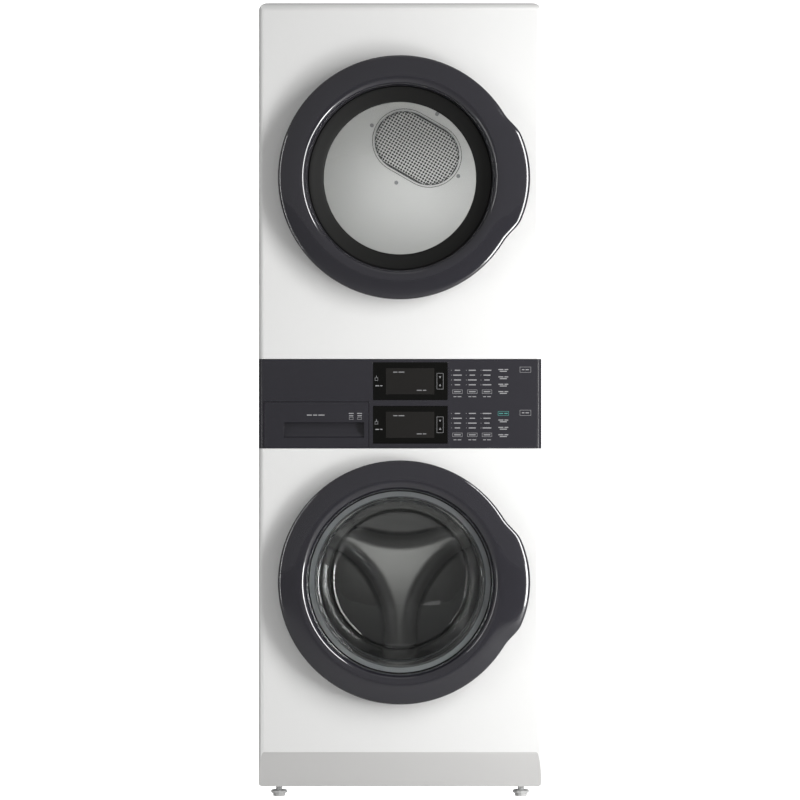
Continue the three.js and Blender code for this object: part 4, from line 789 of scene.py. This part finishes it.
pull_left, pull_right = -0.281, -0.087
pull_lip, pull_sill = 0.911, 0.874
drawer_face = boxed("drawer_moulding", drawer_low, drawer_high, console_grey)
hollow = boxed(
    "hollow",
    (drawer_low[0] + 0.004, drawer_high[1] - 0.004, drawer_low[2] + 0.003),
    (drawer_high[0] - 0.004, drawer_high[1] + 0.01, drawer_high[2] - 0.004),
)
merge(drawer_face, hollow, "DIFFERENCE")
pull_section = [
    (front - 0.002, pull_sill - 0.0005),
    *flowing(
        [
            (front, pull_sill),
            (front + 0.003, pull_sill + 0.0015),
            (front + 0.0075, pull_sill + 0.007),
            (front + 0.0125, pull_sill + 0.016),
            (front + 0.0160, pull_sill + 0.028),
            (front + 0.0170, pull_lip + 0.004),
        ]
    ),
    (front + 0.0165, pull_lip + 0.0100),
    (front + 0.0140, pull_lip + 0.0118),
    (front + 0.0050, pull_lip + 0.0110),
    (front + 0.0035, pull_lip + 0.0005),
    (front + 0.0015, pull_lip),
    (front - 0.002, pull_lip),
]
merge(drawer_face, prism("pull", pull_section, along_x, pull_left, pull_right), "DIFFERENCE")
softened = drawer_face.modifiers.new("softened_edges", "BEVEL")
softened.width = 0.0009
softened.segments = 3
softened.limit_method = "ANGLE"
softened.angle_limit = math.radians(50)
shade(drawer_face)
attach(drawer_face, "drawer")
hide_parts("drawer_front")

drawer_marks = Print("drawer_marks", legend_ink, front)
drawer_marks.words(-0.204, 0.9285, (0.012, 0.010, 0.015), 0.0026)
for x in (-0.118, -0.098):
    drawer_marks.bar(x, 0.9325, 0.012, 0.0022)
    drawer_marks.bar(x, 0.9270, 0.010, 0.0022)
    drawer_marks.box(x, 0.9205, 0.010, 0.0060)
drawer_marks.finish("drawer", "fascia_plastic")

white_plastic = finish("white_plastic", (0.74, 0.74, 0.73), 0.42, grain=300, relief=0.03)
paint(
    white_plastic,
    "drawer_tray",
    "dispenser_housing",
    "water_inlet_valve",
    "blower_wheel",
    "lint_filter",
    "foot_front_left",
    "foot_front_right",
    "foot_rear_left",
    "foot_rear_right",
)

# ---- Remaining working parts ----
# The tub, its drive and suspension, and the dryer's drive keep the shapes of their castings,
# mouldings and pressings. Each gets the finish of what it is made of.

tub_plastic = finish("tub_plastic", (0.27, 0.28, 0.29), 0.6, grain=240, relief=0.1)
cast_aluminium = finish("cast_aluminium", (0.46, 0.47, 0.48), 0.48, 0.9, grain=380, relief=0.2)
cast_weight = finish("cast_weight", (0.20, 0.195, 0.19), 0.85, grain=180, relief=0.5, shade=0.2)
motor_steel = finish("motor_steel", (0.48, 0.49, 0.51), 0.4, 0.8, grain=220, relief=0.05)
belt_rubber = finish("belt_rubber", (0.012, 0.012, 0.013), 0.75, grain=420, relief=0.2)
drum_enamel = finish("drum_enamel", (0.52, 0.515, 0.50), 0.36, 0.15, grain=340, relief=0.03)
paint(tub_plastic, "tub_front", "tub_rear")
paint(cast_aluminium, "drum_spider", "drum_pulley")
paint(cast_weight, "counterweight")
paint(motor_steel, "washer_motor", "dryer_motor")
paint(belt_rubber, "drive_belt", "dryer_belt")
paint(drum_enamel, "dryer_rear_bulkhead")
paint(black_plastic, "washer_door_lock", "drain_pump", "damper_cylinder_left", "damper_cylinder_right")

# ---- Air grille ----
# A perforated plate over the hot air opening in the dryer's rear wall: rows of round holes that
# lean with the plate, and four screws round it. A thin black line round its pressed edge is painted
# shade, and a black sheet close behind the plate is painted shade that makes the holes dark.

# Painted shade: near-black, for the line round the plate and the sheet behind it.
painted_shade_black = finish("painted_shade_black", (0.02, 0.02, 0.02), 0.6, grain=300, relief=0.05)
plate_low, plate_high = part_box("air_grille")
grille_x = (plate_low[0] + plate_high[0]) / 2
grille_z = (plate_low[2] + plate_high[2]) / 2
grille_width = 0.173
grille_length = 0.249
grille_tilt = math.radians(-30)
hole_pitch = 0.0078
hole_radius = 0.0031
hole_steps = 12


def stadium_points(inset, steps=28):
    radius = grille_width / 2 - inset
    half = (grille_length - grille_width) / 2
    return [*arc(half, 0, radius, -90, 90, steps), *arc(-half, 0, radius, 90, 270, steps)]


def leaning(a, b, y):
    """A point of the plate, from its own long and short directions."""
    c, s = math.cos(grille_tilt), math.sin(grille_tilt)
    return (grille_x + a * c - b * s, y, grille_z + a * s + b * c)


def perforated_plate():
    """Square cells, each with a round hole, where they fit inside the plate's border."""
    points, faces, made = [], [], {}
    y0, y1 = plate_low[1], plate_high[1]
    half = (grille_length - grille_width) / 2
    reach = grille_width / 2 - 0.006

    def vertex(a, b, y):
        key = (round(a * 1e7), round(b * 1e7), y)
        if key not in made:
            made[key] = len(points)
            points.append(leaning(a, b, y))
        return made[key]

    across = int(grille_length / hole_pitch / 2) + 1
    for i in range(-across, across + 1):
        for k in range(-across, across + 1):
            a, b = i * hole_pitch, k * hole_pitch
            corner_a = max(0, abs(a) + hole_pitch / 2 - half)
            if math.hypot(corner_a, abs(b) + hole_pitch / 2) > reach:
                continue
            rims = {}
            for y in (y0, y1):
                rims[y] = [
                    vertex(
                        a + hole_radius * math.cos(2 * math.pi * (n + 0.5) / hole_steps),
                        b + hole_radius * math.sin(2 * math.pi * (n + 0.5) / hole_steps),
                        y,
                    )
                    for n in range(hole_steps)
                ]
                corners = [
                    vertex(a + sa * hole_pitch / 2, b + sb * hole_pitch / 2, y)
                    for sa, sb in ((1, 1), (-1, 1), (-1, -1), (1, -1))
                ]
                per_side = hole_steps // 4
                for q in range(4):
                    first = q * per_side
                    run = [rims[y][(first + n) % hole_steps] for n in range(per_side)]
                    faces.append((corners[q], *reversed(run)))
                    last = rims[y][(first + per_side - 1) % hole_steps]
                    after = rims[y][(first + per_side) % hole_steps]
                    faces.append((corners[q], last, after, corners[(q + 1) % 4]))
            for n in range(hole_steps):
                m = (n + 1) % hole_steps
                faces.append((rims[y0][n], rims[y0][m], rims[y1][m], rims[y1][n]))
    return points, faces


grille_points, grille_faces = perforated_plate()
grille_holes = add_mesh("grille_holes", grille_points, grille_faces, drum_enamel)
border = prism("grille_border", stadium_points(0), leaning, plate_low[1], plate_high[1], drum_enamel)
inner_border = prism("cut", stadium_points(0.0062), leaning, plate_low[1] - 0.01, plate_high[1] + 0.01)
merge(border, inner_border, "DIFFERENCE")
# Painted shade: a thin black line standing in for the shade at the plate's pressed edge.
rib = prism(
    "grille_rib_painted_shade", stadium_points(0.0004), leaning, plate_low[1] - 0.0010, plate_low[1], painted_shade_black
)
rib_cut = prism("cut", stadium_points(0.0019), leaning, plate_low[1] - 0.01, plate_high[1] + 0.01)
merge(rib, rib_cut, "DIFFERENCE")
# Painted shade: a black sheet just behind the plate, where the heater's inside is dark, so the holes read
# dark.
painted_shade_sheet = prism(
    "heater_painted_shade_sheet",
    stadium_points(0.0070),
    leaning,
    plate_high[1] + 0.006,
    plate_high[1] + 0.0068,
    painted_shade_black,
)
for piece in (grille_holes, border, rib, painted_shade_sheet):
    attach(piece, "cabinet")
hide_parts("air_grille")

screw_steel = finish("screw_steel", (0.20, 0.20, 0.205), 0.45, 0.6, grain=300, relief=0.03)


def screw(name, x, y, z, radius, facing, body, thickness=0.002):
    """A pan head with a cross recess. facing is -1 towards the doors and 1 towards the rear."""
    head = prism(
        name, arc(x, z, radius, 0, 345, 23), along_y, *sorted((y, y + facing * thickness)), screw_steel
    )
    for a, b in ((radius * 0.62, radius * 0.16), (radius * 0.16, radius * 0.62)):
        recess = boxed(
            "recess",
            (x - a, min(y + facing * thickness * 0.4, y + facing * 0.01), z - b),
            (x + a, max(y + facing * thickness * 0.4, y + facing * 0.01), z + b),
        )
        merge(head, recess, "DIFFERENCE")
    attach(head, body)


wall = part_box("dryer_rear_bulkhead")[1][1] - 0.0015
grille_screws = ((-0.0745, 0.192), (0.0986, 0.2227), (0.1546, 0.0576), (-0.0098, 0.0398))
for number, (x, z) in enumerate(grille_screws, 1):
    screw("grille_screw_%d" % number, x, wall, dryer_axis + z, 0.0052, -1, "cabinet")

# ---- Rear screws ----
# The rear covers are fixed to the wrappers with pan-head sheet metal screws, one every 150 mm
# or so along the flanges.

cabinet_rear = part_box("washer_wrapper")[1][1]
for wrapper in ("washer_wrapper", "dryer_wrapper"):
    low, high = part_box(wrapper)
    rows = 6
    for row in range(rows + 1):
        z = low[2] + 0.017 + (high[2] - low[2] - 0.034) * row / rows
        for side in (-1, 1):
            name = "%s_screw_%d_%s" % (wrapper.split("_")[0], row + 1, "right" if side > 0 else "left")
            x = side * (half_width - 0.017)
            screw(name, x, cabinet_rear, z, 0.0048, 1, "cabinet", thickness=0.0022)

# ---- Dryer drum ----
# A seam-welded steel cylinder with a rolled lip at each end and three hollow lifters. It turns
# round the felt collars of the two bulkheads.


def lifter_section(radius, angle, height, width):
    """Outline of a lifter, a rounded ridge on the inside of a drum's wall."""
    base = math.sqrt(radius**2 - (width / 2) ** 2)
    crest = radius - height
    ridge = flowing(
        [
            (base, -width / 2),
            (base - 0.18 * height, -0.44 * width),
            (base - 0.62 * height, -0.27 * width),
            (crest + 0.004, -0.12 * width),
            (crest, 0.0),
            (crest + 0.004, 0.12 * width),
            (base - 0.62 * height, 0.27 * width),
            (base - 0.18 * height, 0.44 * width),
            (base, width / 2),
        ],
        5,
    )
    c, s = math.cos(math.radians(angle)), math.sin(math.radians(angle))
    return [(u * c - v * s, u * s + v * c) for u, v in ridge]


def add_lifter(name, axis, radius, angle, height, width, start, stop, material, body):
    """A closed ridge whose two ends slope down to the wall."""
    outline = lifter_section(radius, angle, height, width)
    count = len(outline)
    rise_in = [(0.0, 0.0), (0.10, 0.62), (0.24, 0.95), (0.40, 1.0)]
    fall_out = [(0.60, 1.0), (0.76, 0.95), (0.90, 0.62), (1.0, 0.0)]
    reach = flowing(rise_in + fall_out, 4)
    points = []
    for along, full in reach:
        for x, z in outline:
            r = math.hypot(x, z)
            wanted = radius - (radius - r) * max(full, 0.0)
            points.append((x / r * wanted, front + start + (stop - start) * along, axis + z / r * wanted))
    faces = []
    for i in range(len(reach) - 1):
        for k in range(count - 1):
            a = i * count + k
            faces.append((a, a + 1, a + 1 + count, a + count))
    ridge = add_mesh(name, points, faces, material)
    thick = ridge.modifiers.new("sheet", "SOLIDIFY")
    thick.thickness = 0.0008
    shade(ridge, 60)
    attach(ridge, body)


drum_front, drum_rear = 0.050, 0.636
dryer_shell = turned(
    "dryer_drum_shell",
    [
        (0.296, drum_front),
        (0.308, drum_front),
        *arc(0.310, drum_front + 0.008, 0.008, -90, 0, 5),
        (0.318, 0.200),
        (0.3172, 0.204),
        (0.3172, 0.212),
        (0.318, 0.216),
        (0.318, 0.470),
        (0.3172, 0.474),
        (0.3172, 0.482),
        (0.318, 0.486),
        *arc(0.310, drum_rear - 0.008, 0.008, 0, 90, 5),
        (0.296, drum_rear),
        (0.296, drum_rear - sheet),
        (0.309, drum_rear - sheet),
        (0.3150, drum_rear - 0.004),
        (0.3168, drum_rear - 0.010),
        (0.3168, 0.487),
        (0.3160, 0.483),
        (0.3160, 0.473),
        (0.3168, 0.469),
        (0.3168, 0.217),
        (0.3160, 0.213),
        (0.3160, 0.203),
        (0.3168, 0.199),
        (0.3168, drum_front + 0.010),
        (0.3150, drum_front + 0.004),
        (0.309, drum_front + sheet),
        (0.296, drum_front + sheet),
    ],
    dryer_axis,
    drum_enamel,
    180,
)
shade(dryer_shell, 50)
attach(dryer_shell, "dryer_drum")
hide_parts("dryer_drum")
for number, angle in enumerate((40, 160, 280), 1):
    add_lifter(
        "dryer_lifter_%d" % number,
        dryer_axis,
        0.3167,
        angle,
        0.070,
        0.102,
        0.110,
        0.576,
        drum_enamel,
        "dryer_drum",
    )

# ---- Washer drum ----
# Polished stainless sheet. The cylinder is pierced all over, and the rear wall is pressed into
# three broad arms between deep hollows, over the cast spider that carries it.

stainless = finish("stainless_sheet", (0.36, 0.36, 0.37), 0.24, 0.95, grain=130, relief=0.02, shade=0.05)
brushed_stainless_painted_shade = finish("brushed_stainless_painted_shade", (0.29, 0.287, 0.275), 0.36, 0.85, grain=130, relief=0.03)
wall_front, wall_rear = 0.095, 0.545

# The floor of each hollow is painted darker than the arms that stand forward of it: painted shade, blended
# in by depth.
brush = brushed_stainless_painted_shade.node_tree
hollow_shade_place = brush.nodes.new("ShaderNodeTexCoord")
hollow_shade_parts = brush.nodes.new("ShaderNodeSeparateXYZ")
hollow_shade_depth = brush.nodes.new("ShaderNodeMapRange")
hollow_shade_depth.interpolation_type = "SMOOTHSTEP"
hollow_shade_depth.inputs["From Min"].default_value = front + wall_rear - 0.0075
hollow_shade_depth.inputs["From Max"].default_value = front + wall_rear - 0.0022
# Painted shade: the dark colour that the floor of each hollow blends to.
hollow_painted_shade = brush.nodes.new("ShaderNodeMix")
hollow_painted_shade.data_type = "RGBA"
hollow_painted_shade.inputs["B"].default_value = (0.08, 0.079, 0.076, 1)
brush_shader = brush.nodes["Principled BSDF"]
brush.links.new(hollow_shade_place.outputs["Object"], hollow_shade_parts.inputs["Vector"])
brush.links.new(hollow_shade_parts.outputs["Y"], hollow_shade_depth.inputs["Value"])
brush.links.new(hollow_shade_depth.outputs["Result"], hollow_painted_shade.inputs["Factor"])
brush.links.new(brush_shader.inputs["Base Color"].links[0].from_socket, hollow_painted_shade.inputs["A"])
brush.links.new(hollow_painted_shade.outputs["Result"], brush_shader.inputs["Base Color"])
rear_rows = 40
drum_steps = 288
hollow_distance = 0.326
hollow_radius = 0.237
arm_half_width = 0.046
star_height = 0.019


def star(px, pz):
    """How far the rear wall stands forward: the three hollows are arcs, and arms are left between."""
    nearest = 1.0
    for angle in (90, 210, 330):
        middle_x = hollow_distance * math.cos(math.radians(angle))
        middle_z = hollow_distance * math.sin(math.radians(angle))
        nearest = min(nearest, math.hypot(px - middle_x, pz - middle_z) - hollow_radius)
    crest = math.sin(math.radians(90) * min(1, max(0, nearest / arm_half_width)))
    return star_height * crest * (1 - smooth((math.hypot(px, pz) - 0.200) / 0.058))


def drum_wall_shape(px, depth, pz):
    if depth < wall_rear - 0.0016:
        return px, depth, pz
    return px, depth - star(px, pz), pz


rear_inner = [(0.262 * k / rear_rows, wall_rear - 0.0015) for k in range(rear_rows, -1, -1)]
rear_outer = [(0.262 * k / rear_rows, wall_rear) for k in range(rear_rows + 1)]
rear_wall = turned(
    "drum_rear_wall",
    [*rear_inner, *rear_outer, (0.272, wall_rear), (0.280, wall_rear - 0.012), (0.280, wall_rear - 0.0135)]
    + [(0.2785, wall_rear - 0.0135), (0.2705, wall_rear - 0.0022)],
    washer_axis,
    brushed_stainless_painted_shade,
    drum_steps,
    drum_wall_shape,
)
shade(rear_wall, 60)
mouth = turned(
    "drum_front_wall",
    [
        *flowing(
            [
                (0.200, wall_front + 0.0045),
                (0.2012, wall_front + 0.0012),
                (0.2045, wall_front),
                (0.2300, wall_front),
                (0.2690, wall_front + 0.0002),
                (0.2765, wall_front + 0.0030),
                (0.2800, wall_front + 0.0110),
            ]
        ),
        (0.2785, wall_front + 0.0110),
        (0.2752, wall_front + 0.0042),
        (0.2685, wall_front + 0.0016),
        (0.2060, wall_front + 0.0016),
        (0.2018, wall_front + 0.0050),
    ],
    washer_axis,
    stainless,
)
shade(mouth, 60)

across_cells = 84
cell_rows = 20
pierced_radius = 0.0019


def pierced_wall():
    """The cylinder as a sheet of cells, every one with a small hole, a row offset by half a cell."""
    points, faces = [], []
    length = wall_rear - 0.0135 - wall_front - 0.011
    depth_step = length / cell_rows
    wide = 2 * math.pi / across_cells
    sides = 8

    def add(turn, depth):
        points.append(
            (0.2792 * math.cos(turn), front + depth, washer_axis + 0.2792 * math.sin(turn))
        )
        return len(points) - 1

    for row in range(cell_rows):
        middle = wall_front + 0.011 + (row + 0.5) * depth_step
        for column in range(across_cells):
            turn = (column + 0.5 * (row % 2)) * wide
            corners = [
                add(turn + sa * wide / 2, middle + sb * depth_step / 2)
                for sa, sb in ((1, 0), (1, 1), (0, 1), (-1, 1), (-1, 0), (-1, -1), (0, -1), (1, -1))
            ]
            rim = [
                add(
                    turn + pierced_radius / 0.2792 * math.cos(2 * math.pi * n / sides),
                    middle + pierced_radius * math.sin(2 * math.pi * n / sides),
                )
                for n in range(sides)
            ]
            for n in range(sides):
                m = (n + 1) % sides
                faces.append((corners[n], corners[m], rim[m], rim[n]))
    return points, faces


pierced_points, pierced_faces = pierced_wall()
pierced = add_mesh("drum_pierced_wall", pierced_points, pierced_faces, stainless)
thick_wall = pierced.modifiers.new("sheet", "SOLIDIFY")
thick_wall.thickness = 0.0007
thick_wall.offset = 0
shade(pierced, 60)
for piece in (rear_wall, mouth, pierced):
    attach(piece, "washer_drum")
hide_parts("washer_drum")
for number, angle in enumerate((90, 210, 330), 1):
    add_lifter(
        "washer_lifter_%d" % number,
        washer_axis,
        0.2787,
        angle,
        0.050,
        0.082,
        0.135,
        0.505,
        stainless,
        "washer_drum",
    )

# ---- Door gasket ----
# A soft grey rubber bellows from the rim of the door opening to the neck of the tub. It seals on
# the glass bowl. The real one flexes as the tub rides on its springs; here it is one fixed shape.

gasket_rubber = finish("gasket_rubber", (0.20, 0.205, 0.21), 0.5, grain=260, relief=0.06)
gasket = turned(
    "gasket_bellows",
    [
        *flowing(
            [
                (0.2205, 0.0030),
                (0.2208, 0.0190),
                (0.2265, 0.0240),
                (0.2318, 0.0300),
                (0.2310, 0.0375),
                (0.2280, 0.0430),
                (0.2190, 0.0472),
                (0.2150, 0.0520),
                (0.2170, 0.0590),
                (0.2218, 0.0640),
                (0.2220, 0.0790),
            ],
            4,
        ),
        *flowing(
            [
                (0.2180, 0.0790),
                (0.2178, 0.0675),
                (0.2130, 0.0600),
                (0.2110, 0.0520),
                (0.2160, 0.0440),
                (0.2250, 0.0400),
                (0.2280, 0.0340),
                (0.2245, 0.0285),
                (0.2140, 0.0240),
                (0.2062, 0.0205),
                (0.2040, 0.0140),
                (0.2062, 0.0085),
                (0.2120, 0.0040),
            ],
            4,
        ),
    ],
    washer_axis,
    gasket_rubber,
)
shade(gasket, 50)
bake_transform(gasket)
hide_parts("door_gasket")

# ---- Gasket spray nozzles and drain blocks ----
# Three pale plastic nozzles in the top lip of the gasket spray into the drum. Two dark rubber
# blocks low down keep laundry out of the fold where the water drains.

nozzle_plastic = finish("nozzle_plastic", (0.85, 0.86, 0.87), 0.4, grain=300, relief=0.02)


def pill(name, x, z, half_width, half_height, start, stop, material, body="tub_unit"):
    """A block with rounded ends, drawn back along the drum's axis."""
    radius = min(half_width, half_height) * 0.9
    outline = [
        *arc(x + half_width - radius, z + half_height - radius, radius, 0, 90, 8),
        *arc(x - half_width + radius, z + half_height - radius, radius, 90, 180, 8),
        *arc(x - half_width + radius, z - half_height + radius, radius, 180, 270, 8),
        *arc(x + half_width - radius, z - half_height + radius, radius, 270, 360, 8),
    ]
    block = prism(name, outline, along_y, front + start, front + stop, material)
    softened = block.modifiers.new("softened_edges", "BEVEL")
    softened.width = 0.0015
    softened.segments = 3
    softened.limit_method = "ANGLE"
    shade(block, 40)
    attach(block, body)
    return block


for number, (x, half_width, half_height) in enumerate(
    ((-0.045, 0.015, 0.0055), (0.003, 0.007, 0.0065), (0.047, 0.015, 0.0055)), 1
):
    z = washer_axis + math.sqrt(0.207**2 - x**2) - half_height
    nozzle = pill(
        "spray_nozzle_%d" % number, x, z, half_width, half_height, 0.020, 0.034, nozzle_plastic, "cabinet"
    )
for number, x in enumerate((-0.061, 0.056), 1):
    z = washer_axis - 0.2025
    block = pill("drain_block_%d" % number, x, z, 0.018, 0.0075, 0.050, 0.070, black_plastic)
seal_grey = finish("glass_seal_grey", (0.50, 0.51, 0.52), 0.5, grain=260, relief=0.04)
clamp_ring = turned(
    "glass_seal_ring",
    [(0.2068, -0.0194), (0.2185, -0.0194), (0.2185, -0.01915), (0.2068, -0.01915)],
    washer_axis,
    seal_grey,
)
shade(clamp_ring)
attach(clamp_ring, "washer_door")

# ---- Suspension springs ----
# Two long coil springs of zinc-plated wire hang the tub from brackets under the middle deck. The
# real ones stretch and close as it rides; here each is one fixed coil.

spring_turns = 22
wire_radius = 0.0021
coil_radius = 0.0128
for side in ("left", "right"):
    low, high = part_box("spring_" + side)
    x, y = (low[0] + high[0]) / 2, (low[1] + high[1]) / 2
    bottom, top = low[2] + wire_radius, high[2] - wire_radius
    rings = spring_turns * 20
    sides = 8
    points, faces = [], []
    for i in range(rings + 1):
        turn = 2 * math.pi * spring_turns * i / rings
        z = bottom + (top - bottom) * i / rings
        for k in range(sides):
            around = 2 * math.pi * k / sides
            out = coil_radius + wire_radius * math.cos(around)
            up = z + wire_radius * math.sin(around)
            points.append((x + out * math.cos(turn), y + out * math.sin(turn), up))
    for i in range(rings):
        for k in range(sides):
            m = (k + 1) % sides
            faces.append((i * sides + k, i * sides + m, (i + 1) * sides + m, (i + 1) * sides + k))
    faces.append(tuple(range(sides)))
    faces.append(tuple(range(rings * sides, (rings + 1) * sides)))
    spring = add_mesh("spring_" + side + "_coil", points, faces, zinc)
    spring.data.shade_smooth()
    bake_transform(spring)
    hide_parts("spring_" + side)
